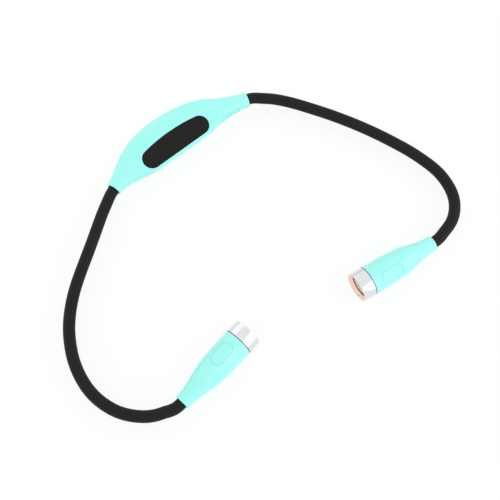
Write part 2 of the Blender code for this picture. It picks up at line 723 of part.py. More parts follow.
def port_point(run, up, deep):
    """A point by its place along the wall, its height and its depth behind the wall at the port."""
    return port_place @ Vector((run, up, -deep))


battery_end = battery_x + half_length + CLEARANCE + BATTERY_LEAD_RADIUS
for number, (pole, material) in enumerate((("positive", LEAD_RED), ("negative", LEAD_BLACK))):
    shift = number * BATTERY_LEAD_PITCH
    on_board = board_top + CLEARANCE + BATTERY_LEAD_RADIUS
    start = Vector((battery_end, BATTERY_Y - half_width / 2 - shift, PARTING_HEIGHT - PORT_DROP))
    deep = BOARD_SETBACK + BATTERY_LEAD_INSET - shift
    land = port_point(board_left + BATTERY_LEAD_RADIUS, on_board, deep)
    hang = port_point(board_left - BATTERY_LEAD_PITCH - shift, on_board, deep)
    route = eased([start, start.lerp(hang, 0.5), hang, land])
    wire(f"battery_lead_{pole}", route, BATTERY_LEAD_RADIUS, material, housing)


# An arm follows a route of arcs between its bending stations, where it is straight


def arm_route(mouth, collar_heading, headings):
    """The knots of a route: (distance, heading) pairs from the mouth of the housing to that of the head."""
    knots = [(0.0, collar_heading)]
    turns = iter(headings)
    for share in (*STATION_SHARES, None):
        end = share * ARM_LENGTH - STATION_STRAIGHT if share else ARM_LENGTH
        start = knots[-1][0]
        if start:
            for i in range(1, BENDS_BETWEEN + 1):
                place = start + (end - start) * i / (BENDS_BETWEEN + 1)
                knots.append((place, math.radians(next(turns))))
        heading = math.radians(next(turns))
        knots.append((end, heading))
        if share:
            knots.append((end + 2 * STATION_STRAIGHT, heading))
    return mouth, knots


def route_frame(route, distance):
    """The point and the heading of a route at a distance, run on straight past its ends."""
    point, knots = route
    point = point.copy()
    if distance <= 0:
        heading = knots[0][1]
        return point + distance * Vector((math.cos(heading), math.sin(heading), 0)), heading
    for (start, first), (end, second) in zip(knots, knots[1:]):
        length = min(distance, end) - start
        heading = first + (second - first) * length / (end - start)
        if abs(heading - first) < 1e-9:
            point += length * Vector((math.cos(first), math.sin(first), 0))
        else:
            radius = length / (heading - first)
            point += radius * Vector(
                (math.sin(heading) - math.sin(first), math.cos(first) - math.cos(heading), 0)
            )
        if distance <= end:
            return point, heading
    rest = distance - knots[-1][0]
    return point + rest * Vector((math.cos(heading), math.sin(heading), 0)), heading


def run(start, end, radius):
    """Points of a profile from start to end, with rings between them at the places shared by the whole arm."""
    low, high = sorted((start, end))
    margin = RING_STEP / 5
    count = math.ceil((high - low) / RING_STEP) + 1
    first = math.floor(low / RING_STEP)
    grid = [(first + i) * RING_STEP for i in range(count + 1)]
    places = [low, *(place for place in grid if low + margin < place < high - margin), high]
    if start > end:
        places.reverse()
    return [(place, radius) for place in places]


def sleeved(name, route, profile, sides, material, parent, origin):
    """A tube along a route, from a closed profile of (distance, radius), with its origin on its joint."""
    rings = []
    for distance, radius in profile:
        centre, heading = route_frame(route, distance)
        side = Vector((-math.sin(heading), math.cos(heading), 0))
        ring = []
        for i in range(sides):
            angle = 2 * math.pi * i / sides
            outward = math.cos(angle) * side + math.sin(angle) * Vector((0, 0, 1))
            ring.append(centre - origin + radius * outward)
        rings.append(ring)
    return solid(name, rings, material, parent, cyclic=True)


def arc(distance, radius, first, last, steps=3):
    """Points of a profile on a sphere round a station, from one latitude to another."""
    points = []
    for i in range(steps + 1):
        latitude = first + (last - first) * i / steps
        points.append((distance + radius * math.sin(latitude), radius * math.cos(latitude)))
    return points


ball_end = math.acos(SLEEVE_BORE_RADIUS / SLEEVE_RADIUS)
cup_radius = SLEEVE_RADIUS + CLEARANCE
cup_start = math.acos(SLEEVE_RADIUS / cup_radius)
cup_end = math.acos(SLEEVE_BORE_RADIUS / cup_radius)


def sleeve_profile(start, end, cup, ball):
    """A stretch of sleeve between two stations: a cup round the last ball and a ball in the next cup."""
    outside = run(start + cup_radius * math.sin(cup_start) if cup else start, end, SLEEVE_RADIUS)
    tip = arc(end, SLEEVE_RADIUS, 0, ball_end)[1:] if ball else [(end, SLEEVE_BORE_RADIUS)]
    bore_start = start + cup_radius * math.sin(cup_end) if cup else start
    inside = run(tip[-1][0], bore_start, SLEEVE_BORE_RADIUS)[1:]
    mouth = arc(start, cup_radius, cup_end, cup_start)[1:-1] if cup else []
    return outside + tip + inside + mouth


def make_arm(side, route):
    """The sleeve, core, ferrules and lead of one arm, each stretch on the joint that moves it."""
    stations = [share * ARM_LENGTH for share in STATION_SHARES]
    joints, holder, origin = [], housing, Vector((0, 0, 0))
    for number, distance in enumerate(stations, 1):
        spot = route_frame(route, distance)[0]
        holder = empty(f"{side}_arm_joint_{number}", holder, Matrix.Translation(spot - origin))
        origin = spot
        joints.append((holder, origin))
    stretches = [(-SLEEVE_INSERT, housing, Vector((0, 0, 0)))]
    stretches += [(distance, *joint) for distance, joint in zip(stations, joints)]
    ends = stations + [ARM_LENGTH + SLEEVE_INSERT]
    names = ("root", "inner", "middle", "outer", "head")
    for number, ((start, parent, origin), end, name) in enumerate(zip(stretches, ends, names)):
        first, last = number == 0, number == len(ends) - 1
        profile = sleeve_profile(start, end, not first, not last)
        sleeved(f"{side}_sleeve_{name}", route, profile, ARM_SIDES, SLEEVE_RUBBER, parent, origin)
        low = start - CLEARANCE - FERRULE_LENGTH if first else start + cup_radius
        high = end + CLEARANCE + FERRULE_LENGTH if last else end - CORE_BORE_RADIUS
        sides = ARM_SIDES if first or last else CORE_SIDES
        if first:
            shoulder = start - CLEARANCE
            outside = [(low, FERRULE_RADIUS), (shoulder, FERRULE_RADIUS)] + run(shoulder, high, CORE_RADIUS)
            label = f"{side}_root_ferrule"
        elif last:
            shoulder = end + CLEARANCE
            outside = run(low, shoulder, CORE_RADIUS) + [(shoulder, FERRULE_RADIUS), (high, FERRULE_RADIUS)]
            label = f"{side}_head_ferrule"
        else:
            outside = run(low, high, CORE_RADIUS)
            label = f"{side}_core_{name}"
        sleeved(label, route, outside + run(high, low, CORE_BORE_RADIUS), sides, STEEL, parent, origin)
    return joints[-1]


# The lead of an arm runs unbroken from the charging board to the switch board in the head


def lead_points(route, inside, head_end):
    low = -SLEEVE_INSERT - FERRULE_LENGTH
    high = ARM_LENGTH + SLEEVE_INSERT + FERRULE_LENGTH
    middle = [route_frame(route, place)[0] for place, _ in run(low, high, LEAD_RADIUS)]
    return eased([*inside, middle[0]], 3)[:-1] + middle + eased([middle[-1], *head_end], 3)[1:]


# A lamp head is a shell with its switch, its light engine and a metal bezel


def head_radius(along):
    share = smooth_share(HEAD_FLARE_SHARES, along / HEAD_SHELL_LENGTH)
    return HEAD_MOUTH_RADIUS + (HEAD_RADIUS - HEAD_MOUTH_RADIUS) * share


front_bore_radius = HEAD_RADIUS - HEAD_WALL
head_bore_radius = front_bore_radius - HEAD_LEDGE_WIDTH
ledge = HEAD_SHELL_LENGTH - FRONT_BORE_DEPTH
ferrule_room = SLEEVE_INSERT + 2 * CLEARANCE + FERRULE_LENGTH
button_length = BUTTON_LENGTH_SHARE * HEAD_SHELL_LENGTH
button_place = ledge - BUTTON_SETBACK - button_length / 2
button_bottom = HEAD_RADIUS - BUTTON_DEPTH
switch_board_length = SWITCH_BOARD_SHARE * HEAD_SHELL_LENGTH


def shell_outline():
    """The outer profile of a head shell, from its mouth to its front."""
    rows = [HEAD_SHELL_LENGTH * share for share in HEAD_ROW_SHARES]
    mouth = [(0, HEAD_MOUTH_RADIUS - CLEARANCE), (CLEARANCE, HEAD_MOUTH_RADIUS)]
    return mouth + [(x, head_radius(x)) for x in rows]


def shell_bore():
    """The bore of a head shell, from its front back to its mouth."""
    sleeve_bore = SLEEVE_RADIUS + CLEARANCE
    ferrule_bore = FERRULE_RADIUS + CLEARANCE
    step = SLEEVE_INSERT + CLEARANCE / 2
    throat = [HEAD_SHELL_LENGTH * share for share in HEAD_THROAT_SHARES]
    return [
        (HEAD_SHELL_LENGTH, front_bore_radius),
        (ledge, front_bore_radius),
        (ledge, head_bore_radius),
        (HEAD_SHELL_LENGTH * HEAD_BORE_SHARE, head_bore_radius),
        *[(x, head_radius(x) - HEAD_WALL) for x in throat],
        (ferrule_room, ferrule_bore),
        (step, ferrule_bore),
        (step, sleeve_bore),
        (0, sleeve_bore),
    ]


def bezel_profile():
    """A ring with a skirt that goes into the shell, a lip before the lens and a flared mouth."""
    skirt_out = front_bore_radius - CLEARANCE
    skirt_in = skirt_out - BEZEL_SKIRT_WALL
    back = HEAD_SHELL_LENGTH + GASKET_THICKNESS + 2 * CLEARANCE
    rim = HEAD_RADIUS - BEZEL_TAPER
    lip = skirt_in - BEZEL_LIP
    seat = HEAD_LENGTH - BEZEL_RECESS
    return [
        (ledge + LED_BOARD_THICKNESS + 2 * CLEARANCE, skirt_out),
        (back, skirt_out),
        (back, HEAD_RADIUS - BEZEL_CHAMFER / 2),
        (back + BEZEL_CHAMFER, HEAD_RADIUS),
        (HEAD_LENGTH - BEZEL_CHAMFER, rim),
        (HEAD_LENGTH, rim - BEZEL_CHAMFER),
        (HEAD_LENGTH, rim - BEZEL_RIM),
        (seat + BEZEL_LIP, lip),
        (seat, lip),
        (seat, skirt_in),
        (ledge + LED_BOARD_THICKNESS + 2 * CLEARANCE, skirt_in),
    ]


def make_head(side, joint, route, roll):
    """Every piece of a lamp head, in a frame whose +X is the lamp's axis and whose +Z is the button's side."""
    parent, origin = joint
    tip, heading = route_frame(route, ARM_LENGTH)
    turn = Matrix.Rotation(heading, 4, "Z") @ Matrix.Rotation(math.radians(roll), 4, "X")
    head = empty(f"{side}_head_frame", parent, Matrix.Translation(tip - origin) @ turn)
    shell = turned(f"{side}_head_shell", shell_outline() + shell_bore(), HEAD_SIDES, TURQUOISE, head)

    at_button = Matrix.Translation((button_place, 0, 0))
    hole = racetrack(button_length + 2 * CLEARANCE, BUTTON_WIDTH + 2 * CLEARANCE)
    over = HEAD_RADIUS + OVERRUN
    tool = extruded(f"{side}_button_hole", hole, button_bottom / 2, over, TURQUOISE, head, at_button)
    boolean(shell, tool, "DIFFERENCE")
    key = racetrack(button_length, BUTTON_WIDTH)
    button = extruded(f"{side}_button", key, button_bottom, over, TURQUOISE, head, at_button)
    skin = [(x, r + BUTTON_PROUD) for x, r in shell_outline()[2:]]
    skin = [(skin[0][0], 0), *skin, (skin[-1][0], 0)]
    boolean(button, turned(f"{side}_button_skin", skin, HEAD_SIDES, TURQUOISE, head), "INTERSECT")
    tab_end, tab_side = button_length / 2 + BUTTON_TAB_REACH, BUTTON_TAB_WIDTH / 2
    tabs = block(
        f"{side}_button_tabs", (-tab_end, -tab_side, button_bottom - CLEARANCE),
        (tab_end, tab_side, button_bottom + BUTTON_TAB_HEIGHT), TURQUOISE, head, at_button,
    )
    boolean(button, tabs, "UNION")
    outer_ring, inner_ring = BUTTON_RING_RADIUS, BUTTON_RING_RADIUS - BUTTON_RING_WIDTH
    ring_floor = head_radius(button_place) + BUTTON_PROUD - BUTTON_RING_DEPTH
    groove = [(ring_floor, inner_ring), (ring_floor, outer_ring), (over, outer_ring), (over, inner_ring)]
    upright = at_button @ along_x((0, 0, 1), (0, 1, 0))
    ring_tool = turned(f"{side}_button_groove", groove, ARM_SIDES, TURQUOISE, head, upright)
    boolean(button, ring_tool, "DIFFERENCE")

    board_top_z = button_bottom - BUTTON_TRAVEL - 2 * CLEARANCE - SWITCH_PLUNGER_HEIGHT - SWITCH_HEIGHT
    board_low_z = board_top_z - BOARD_THICKNESS
    board_height = max(abs(board_top_z), abs(board_low_z))
    board_half = math.sqrt((head_bore_radius - CLEARANCE) ** 2 - board_height**2) - CLEARANCE / 2
    block(
        f"{side}_switch_board",
        (-switch_board_length / 2, -board_half, board_low_z),
        (switch_board_length / 2, board_half, board_top_z),
        BOARD_GREEN, head, at_button,
    )
    switch_low = board_top_z + CLEARANCE
    half = SWITCH_SIDE / 2
    switch = block(
        f"{side}_tact_switch", (-half, -half, switch_low), (half, half, switch_low + SWITCH_HEIGHT),
        BLACK_PLASTIC, head, at_button,
    )
    middle = switch_low + SWITCH_HEIGHT / 2
    top = switch_low + SWITCH_HEIGHT + SWITCH_PLUNGER_HEIGHT
    plunger = [(middle, 0), (middle, SWITCH_PLUNGER_RADIUS), (top, SWITCH_PLUNGER_RADIUS), (top, 0)]
    boolean(switch, turned(f"{side}_plunger", plunger, ARM_SIDES, BLACK_PLASTIC, head, upright), "UNION")

    led_low = ledge + CLEARANCE
    led_high = led_low + LED_BOARD_THICKNESS
    disc = front_bore_radius - LED_BOARD_MARGIN
    led_board = [(led_low, 0), (led_low, disc), (led_high, disc), (led_high, 0)]
    turned(f"{side}_led_board", led_board, INNER_SIDES, BOARD_WHITE, head)
    chip_low = led_high + CLEARANCE
    chip_high = chip_low + LED_THICKNESS
    emitter = [
        (chip_low, 0), (chip_low, LED_RADIUS), (chip_high - LED_EDGE, LED_RADIUS), (chip_high, LED_DOME_RADIUS),
        (chip_high, 0),
    ]
    turned(f"{side}_led_emitter", emitter, ARM_SIDES, PHOSPHOR, head)
    lens_front = HEAD_LENGTH - BEZEL_RECESS - CLEARANCE
    lens_back = lens_front - LENS_THICKNESS
    bore = front_bore_radius - CLEARANCE - BEZEL_SKIRT_WALL - CLEARANCE
    window = bore - BEZEL_LIP
    lens = [
        (lens_back, 0), (lens_back, bore), (lens_front, bore), (lens_front, window),
        (lens_front + LENS_SHOULDER, window / 2), (lens_front + LENS_DOME, 0),
    ]
    turned(f"{side}_lens", lens, INNER_SIDES, LENS_CLEAR, head)
    cup_low = led_high + CLEARANCE
    cup_high = lens_back - CLEARANCE
    throat = LED_RADIUS + CLEARANCE
    belly = throat + (bore - throat) * REFLECTOR_BELLY_SHARE
    middle = cup_low + (cup_high - cup_low) * REFLECTOR_MIDDLE_SHARE
    reflector = [
        (cup_low, throat + REFLECTOR_WALL), (middle, belly), (cup_high - REFLECTOR_WALL, bore), (cup_high, bore),
        (cup_high, bore - REFLECTOR_WALL), (middle, belly - REFLECTOR_WALL), (cup_low, throat),
    ]
    turned(f"{side}_reflector", reflector, INNER_SIDES, REFLECTOR_METAL, head)
    seal_low = HEAD_SHELL_LENGTH + CLEARANCE
    seal_high = seal_low + GASKET_THICKNESS
    seal_out, seal_in = HEAD_RADIUS - GASKET_SETBACK, front_bore_radius
    seal = [(seal_low, seal_in), (seal_low, seal_out), (seal_high, seal_out), (seal_high, seal_in)]
    turned(f"{side}_gasket", seal, HEAD_SIDES, PAD_RUBBER, head)
    turned(f"{side}_bezel", bezel_profile(), HEAD_SIDES, BEZEL_METAL, head)
    return tip, heading, board_top_z


def on_spine(x, across, up):
    """A point in the housing by its place along the spine, its offset to the outer side and its height."""
    centre, _, outer = spine(x)
    return centre + outer * across + Vector((0, 0, up))


over_battery = battery_low + BATTERY_THICKNESS + 2 * CLEARANCE + LEAD_RADIUS - PARTING_HEIGHT
on_board_up = board_top + CLEARANCE + LEAD_RADIUS
left_inside = [
    port_point(board_left + LEAD_RADIUS, on_board_up, BOARD_SETBACK + BOARD_DEPTH - LEAD_RADIUS),
    port_point(board_left - BATTERY_LEAD_PITCH, on_board_up, BOARD_SETBACK + BOARD_DEPTH + LEAD_RADIUS),
    on_spine(battery_x + half_length, 0, over_battery),
    on_spine(battery_x, 0, over_battery),
    on_spine(battery_x - half_length, 0, over_battery),
    on_spine(screw_place("left")[0] - LEAD_RADIUS, 0, over_battery / 2),
]
board_right = board_left + board_length
right_inside = [
    port_point(board_right - LEAD_RADIUS, on_board_up, BOARD_SETBACK + BOARD_DEPTH - LEAD_RADIUS),
]

for side, mirror, headings, roll, inside in (
    ("left", -1, LEFT_HEADINGS, LEFT_HEAD_ROLL, left_inside),
    ("right", 1, RIGHT_HEADINGS, RIGHT_HEAD_ROLL, right_inside),
):
    mouth, travel, _ = spine(mirror * HOUSING_HALF_CHORD)
    collar = math.atan2(mirror * travel.y, mirror * travel.x)
    route = arm_route(mouth, collar, headings)
    tip_joint = make_arm(side, route)
    tip, heading, board_height = make_head(side, tip_joint, route, roll)
    turn = Matrix.Rotation(heading, 4, "Z") @ Matrix.Rotation(math.radians(roll), 4, "X")
    solder = board_height + CLEARANCE + LEAD_RADIUS
    board_edge = button_place - switch_board_length / 2
    head_end = [
        tip + turn.to_3x3() @ Vector((board_edge - 2 * OVERRUN, 0, solder * HEAD_LEAD_SHARE)),
        tip + turn.to_3x3() @ Vector((board_edge - OVERRUN / 2, 0, solder + CLEARANCE / 3)),
        tip + turn.to_3x3() @ Vector((board_edge + LEAD_RADIUS, 0, solder)),
    ]
    wire(f"{side}_arm_lead", lead_points(route, inside, head_end), LEAD_RADIUS, LEAD_BLACK, housing)
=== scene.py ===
"""The looks of a rechargeable neck reading light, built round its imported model.

A crescent housing carries two bendable arms, and each arm carries a lamp head. Lengths are in metres and
angles in degrees. +Z is up and the arms reach towards -Y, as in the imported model.
"""

import math

import bmesh
import bpy
from mathutils import Matrix, Vector


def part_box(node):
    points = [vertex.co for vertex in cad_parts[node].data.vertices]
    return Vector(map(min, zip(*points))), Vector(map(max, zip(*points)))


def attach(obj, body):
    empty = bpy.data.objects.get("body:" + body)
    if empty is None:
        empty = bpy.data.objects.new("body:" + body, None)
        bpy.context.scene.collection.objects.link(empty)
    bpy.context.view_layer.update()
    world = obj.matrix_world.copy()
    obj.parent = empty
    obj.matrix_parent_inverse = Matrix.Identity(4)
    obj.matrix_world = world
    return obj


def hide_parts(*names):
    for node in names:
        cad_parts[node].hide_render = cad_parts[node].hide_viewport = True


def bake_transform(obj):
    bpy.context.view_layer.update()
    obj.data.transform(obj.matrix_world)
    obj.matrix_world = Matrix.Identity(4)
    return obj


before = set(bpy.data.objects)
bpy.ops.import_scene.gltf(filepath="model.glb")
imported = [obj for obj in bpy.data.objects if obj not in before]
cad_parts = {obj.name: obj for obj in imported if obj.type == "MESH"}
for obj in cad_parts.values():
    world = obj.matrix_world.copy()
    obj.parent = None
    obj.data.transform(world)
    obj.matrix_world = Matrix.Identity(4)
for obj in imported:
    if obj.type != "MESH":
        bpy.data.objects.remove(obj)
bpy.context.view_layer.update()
UP = Vector((0, 0, 1))

# The photographed view
# The light lies flat on a seamless white table, seen from above and a little from the front left.
# Two broad soft boxes, given by place, side and power, and white surroundings light it.
VIEW_TURN, VIEW_TILT = 37.84, 20.0
VIEW_DISTANCE = 0.4797
VIEW_MIDDLE = Vector((-0.01059, -0.09886, 0.00985))
VIEW_LENS, VIEW_NEAR, VIEW_FAR = 54, 0.02, 8
WHITE = (1, 1, 1, 1)
FLOOR_REACH, FLOOR_DROP = 4.0, 0.00005
FLOOR_WHITE, FLOOR_ROUGHNESS, FLOOR_SHINE = (0.96, 0.96, 0.96, 1), 0.9, 0.1
FLOOR_GLOW_SHARE = 0.86
SURROUNDINGS = 1.0
SOFT_BOXES = (
    ("front", (0.50, -0.80, 0.50), 1.0, 2.4),
    ("back", (-0.25, 0.85, 0.45), 1.1, 0.9),
)


class Wire:
    """A value that runs through a node tree. Sums on it add Math nodes, and add() makes any other node."""

    def __init__(self, tree, socket=None):
        self.tree, self.socket = tree, socket

    def add(self, kind, settings=None, sockets=None, out=0):
        """A node with its settings, then its sockets' values or links. It returns one of its outputs."""
        node = self.tree.nodes.new(kind)
        for name, value in (settings or {}).items():
            if name == "stops":
                ramp = node.color_ramp
                while len(ramp.elements) < len(value):
                    ramp.elements.new(0.5)
                for stop, (place, colour) in zip(ramp.elements, value):
                    stop.position, stop.color = place, colour
            else:
                setattr(node, name, value)
        for name, value in (sockets or {}).items():
            if isinstance(value, Wire):
                self.tree.links.new(value.socket, node.inputs[name])
            else:
                node.inputs[name].default_value = value
        return Wire(self.tree, node.outputs[out] if len(node.outputs) else None)

    def twin(self, out):
        """Another output of the same node."""
        return Wire(self.tree, self.socket.node.outputs[out])

    def feed(self, shader, name):
        """Links this value to a socket of a shader."""
        self.tree.links.new(self.socket, shader.inputs[name])

    def math(self, operation, *values):
        """A Math node on its values, in the order of its sockets."""
        return self.add("ShaderNodeMath", {"operation": operation}, dict(enumerate(values)))

    def vector(self, operation, first, second):
        """A Vector Math node on two vectors, or on a vector and the number that scales it."""
        other = "Scale" if operation == "SCALE" else 1
        return self.add("ShaderNodeVectorMath", {"operation": operation}, {0: first, other: second})

    def part(self, axis):
        """The X, Y or Z of a vector."""
        return self.add("ShaderNodeSeparateXYZ", {}, {"Vector": self}, axis)

    def __add__(self, other):
        return self.math("ADD", self, other)

    def __sub__(self, other):
        return self.math("SUBTRACT", self, other)

    def __rsub__(self, other):
        return self.math("SUBTRACT", other, self)

    def __mul__(self, other):
        return self.math("MULTIPLY", self, other)

    def __truediv__(self, other):
        return self.math("DIVIDE", self, other)

    __radd__, __rmul__ = __add__, __mul__

    def tint(self, low, high):
        """A colour between two, by this value."""
        return self.add("ShaderNodeMix", {"data_type": "RGBA"}, {0: self, 6: low, 7: high}, 2)


turn, tilt = math.radians(VIEW_TURN), math.radians(VIEW_TILT)
looking = Vector((math.sin(tilt) * math.sin(turn), math.sin(tilt) * math.cos(turn), -math.cos(tilt)))
view = bpy.data.cameras.new("view")
view.lens = VIEW_LENS
view.clip_start, view.clip_end = VIEW_NEAR, VIEW_FAR
camera = bpy.data.objects.new("view", view)
camera.location = VIEW_MIDDLE - looking * VIEW_DISTANCE
camera.rotation_mode = "QUATERNION"
camera.rotation_quaternion = looking.to_track_quat("-Z", "Y")
bpy.context.scene.collection.objects.link(camera)
bpy.context.scene.camera = camera
bpy.context.scene.view_settings.view_transform = "Standard"

for name, spot, side, power in SOFT_BOXES:
    lamp = bpy.data.lights.new(name + "_soft_box", "AREA")
    lamp.shape, lamp.size, lamp.energy = "SQUARE", side, power
    box = bpy.data.objects.new(name + "_soft_box", lamp)
    box.location = Vector(spot)
    box.rotation_mode = "QUATERNION"
    box.rotation_quaternion = (VIEW_MIDDLE - Vector(spot)).to_track_quat("-Z", "Y")
    bpy.context.scene.collection.objects.link(box)

world = bpy.data.worlds.new("surroundings")
bpy.context.scene.world = world
world.use_nodes = True
sky = world.node_tree.nodes["Background"]
sky.inputs["Color"].default_value = WHITE
sky.inputs["Strength"].default_value = SURROUNDINGS

table_mesh = bpy.data.meshes.new("white_table")
corners = ((-1, -1), (1, -1), (1, 1), (-1, 1))
corners = [(x * FLOOR_REACH, y * FLOOR_REACH, -FLOOR_DROP) for x, y in corners]
table_mesh.from_pydata(corners, [], [(0, 1, 2, 3)])
white = bpy.data.materials.new("white_table")
white.use_nodes = True
shader = white.node_tree.nodes["Principled BSDF"]
shader.inputs["Base Color"].default_value = FLOOR_WHITE
shader.inputs["Roughness"].default_value = FLOOR_ROUGHNESS
shader.inputs["Specular IOR Level"].default_value = FLOOR_SHINE
rays = Wire(white.node_tree).add("ShaderNodeLightPath", out="Is Camera Ray")
seen = rays.math("MAXIMUM", rays, rays.twin("Is Transmission Ray"))
share = FLOOR_GLOW_SHARE * seen.math("MAXIMUM", seen, rays.twin("Is Glossy Ray"))
glow = share.add("ShaderNodeEmission", {}, {"Color": WHITE, "Strength": 1.0})
matt = Wire(white.node_tree, shader.outputs[0])
mixed = share.add("ShaderNodeMixShader", {}, {0: share, 1: matt, 2: glow})
mixed.feed(white.node_tree.nodes["Material Output"], "Surface")
table_mesh.materials.append(white)
table = bpy.data.objects.new("white_table", table_mesh)
bpy.context.scene.collection.objects.link(table)

# Housing mouldings
# Two shells of high-gloss turquoise plastic, moulded in pairs and closed by four screws from below.
# The upper one swells to a soft bulge on its outer side and slopes down to the inner side.
GAP = 0.0003
SEAM = 0.00007
HEAD_RADIUS = 0.00985
SLEEVE_RADIUS = 0.00377
MOUTH_RADIUS = 0.0052
HALF_CHORD, SAG, HALF_WIDTH, CREST, WALL = 0.0555, 0.0104, 0.0156, 0.0082, 0.0018
PARTING = HEAD_RADIUS
BELLY = -0.003
BOW_SHARES = (
    (-1.12, 1.25), (-1.00, 1.00), (-0.88, 0.735), (-0.76, 0.525), (-0.60, 0.335), (-0.40, 0.175),
    (-0.20, 0.07), (-0.05, 0.05), (0.10, 0.08), (0.25, 0.14), (0.40, 0.245), (0.55, 0.40), (0.70, 0.575),
    (0.85, 0.785), (1.00, 1.00), (1.15, 1.22),
)
WIDTH_SHARES = (
    (-1.00, 0.00), (-0.94, 0.04), (-0.87, 0.13), (-0.78, 0.30), (-0.66, 0.55), (-0.54, 0.76), (-0.40, 0.905),
    (-0.22, 0.985), (-0.04, 1.00), (0.14, 0.955), (0.30, 0.865), (0.44, 0.69), (0.54, 0.49), (0.64, 0.275),
    (0.74, 0.13), (0.86, 0.04), (1.00, 0.00),
)
SWELL_SHARES = (
    (0.00, 1.00), (0.42, 1.00), (0.56, 0.94), (0.69, 0.70), (0.81, 0.36), (0.92, 0.07), (1.00, 0.00),
)
TOP_SHARES = (
    (1.00, 0.00), (0.985, 0.26), (0.93, 0.52), (0.82, 0.76), (0.65, 0.93), (0.46, 1.00), (0.29, 0.975),
    (0.15, 0.90), (0.03, 0.81), (-0.28, 0.65), (-0.60, 0.485), (-0.86, 0.35), (-0.94, 0.29), (-0.985, 0.17),
    (-1.00, 0.00),
)
BASE_SHARES = (
    (-1.00, 0.00), (-0.975, -0.22), (-0.915, -0.46), (-0.81, -0.70), (-0.66, -0.89), (-0.50, -0.98),
    (-0.40, -1.00), (0.00, -1.00), (0.44, -1.00), (0.57, -0.975), (0.73, -0.87), (0.87, -0.67),
    (0.955, -0.42), (0.99, -0.20), (1.00, 0.00),
)
SLOPE_OUTER_ROW, SLOPE_INNER_ROW = 8, 12
HOUSING_ROWS = 112
ROUND_STEPS = 4
EDGE_ROUNDING = 0.0001
LATHE_SIDES = 64
SHARP_ANGLE, TUBE_SHARP_ANGLE = 35, 50
TURQUOISE = (0.325, 0.885, 0.825, 1)
TURQUOISE_DEEP = (0.295, 0.865, 0.80, 1)


def smooth(pairs):
    """A smooth curve through (place, value) pairs, level wherever two values are the same."""
    places, values = zip(*pairs)
    slopes = [0.0] * len(pairs)
    for i in range(1, len(pairs) - 1):
        if values[i - 1] != values[i] != values[i + 1]:
            slopes[i] = (values[i + 1] - values[i - 1]) / (places[i + 1] - places[i - 1])

    def read(place):
        place = min(max(place, places[0]), places[-1])
        i = next(k for k in range(len(pairs) - 1) if place <= places[k + 1])
        span = places[i + 1] - places[i]
        t = (place - places[i]) / span
        lift = t * t * (3 - 2 * t)
        ends = slopes[i] * t * (1 - t) ** 2 - slopes[i + 1] * t * t * (1 - t)
        return values[i] * (1 - lift) + values[i + 1] * lift + span * ends

    return read


bow, widening, swelling = smooth(BOW_SHARES), smooth(WIDTH_SHARES), smooth(SWELL_SHARES)
half_sections = {
    name: [smooth(list(enumerate(values))) for values in zip(*shares)]
    for name, shares in (("top", TOP_SHARES), ("base", BASE_SHARES))
}
SECTION_STEPS = len(TOP_SHARES) - 1


def spine(x):
    """The middle of the housing at x, its direction of travel and its outer side."""
    rise = SAG * (bow((x - GAP) / HALF_CHORD) - bow((x + GAP) / HALF_CHORD))
    travel = Vector((2 * GAP, rise, 0)).normalized()
    return Vector((x, -SAG * bow(x / HALF_CHORD), PARTING)), travel, Vector((-travel.y, travel.x, 0))


def half_section(x, half, inset=0.0, seam=0.0, every=1 / ROUND_STEPS):
    """Points round the top or the base of the housing at x, inset from its skin."""
    centre, _, outer = spine(x)
    reach = HALF_CHORD - BELLY if x > BELLY else HALF_CHORD + BELLY
    swell = swelling(abs(x - BELLY) / reach)
    width = MOUTH_RADIUS + (HALF_WIDTH - MOUTH_RADIUS) * widening(x / HALF_CHORD) - inset
    full = CREST if half == "top" else PARTING
    height = MOUTH_RADIUS + (full - MOUTH_RADIUS) * swell - inset
    start, sign = (0, 1) if half == "top" else (math.pi, -1)
    count = round(SECTION_STEPS / every)
    points = []
    for i in range(count + 1):
        angle = start + math.pi * i / count
        across, up = (curve(i * every) for curve in half_sections[half])
        across = (1 - swell) * math.cos(angle) + swell * across
        up = ((1 - swell) * math.sin(angle) + swell * up) * height
        if i in (0, count):
            up = sign * seam / 2
        points.append(centre + outer * across * width + UP * up)
    return points


def face_outwards(work, mesh):
    """Turns all faces of a finished bmesh outwards and writes it to a mesh."""
    bmesh.ops.recalc_face_normals(work, faces=work.faces)
    work.to_mesh(mesh)
    work.free()


def piece_of(name, rings, closed=False):
    """Joins rings of points into one closed mesh. The rings close on to the first one when closed is set."""
    work = bmesh.new()
    made = [[work.verts.new(point) for point in ring] for ring in rings]
    for first, second in list(zip(made, made[1:])) + ([(made[-1], made[0])] if closed else []):
        count = max(len(first), len(second))
        for i in range(count):
            j = (i + 1) % count
            if len(first) == 1:
                work.faces.new((first[0], second[i], second[j]))
            elif len(second) == 1:
                work.faces.new((first[i], second[0], first[j]))
            else:
                work.faces.new((first[i], second[i], second[j], first[j]))
    if not closed:
        for ring in (made[0], made[-1]):
            if len(ring) > 2:
                work.faces.new(ring)
    mesh = bpy.data.meshes.new(name)
    face_outwards(work, mesh)
    piece = bpy.data.objects.new(name, mesh)
    bpy.context.scene.collection.objects.link(piece)
    return piece


def settle(piece):
    """Makes a piece's modifiers final."""
    graph = bpy.context.evaluated_depsgraph_get()
    mesh = bpy.data.meshes.new_from_object(piece.evaluated_get(graph))
    piece.modifiers.clear()
    piece.data = mesh
    return piece


def shape(piece, operation, tool):
    """Cuts a tool from a piece, keeps what they share or joins it on, and throws the tool away."""
    change = piece.modifiers.new(operation.lower(), "BOOLEAN")
    change.operation, change.solver, change.object = operation, "EXACT", tool
    settle(piece)
    bpy.data.objects.remove(tool)
    return piece


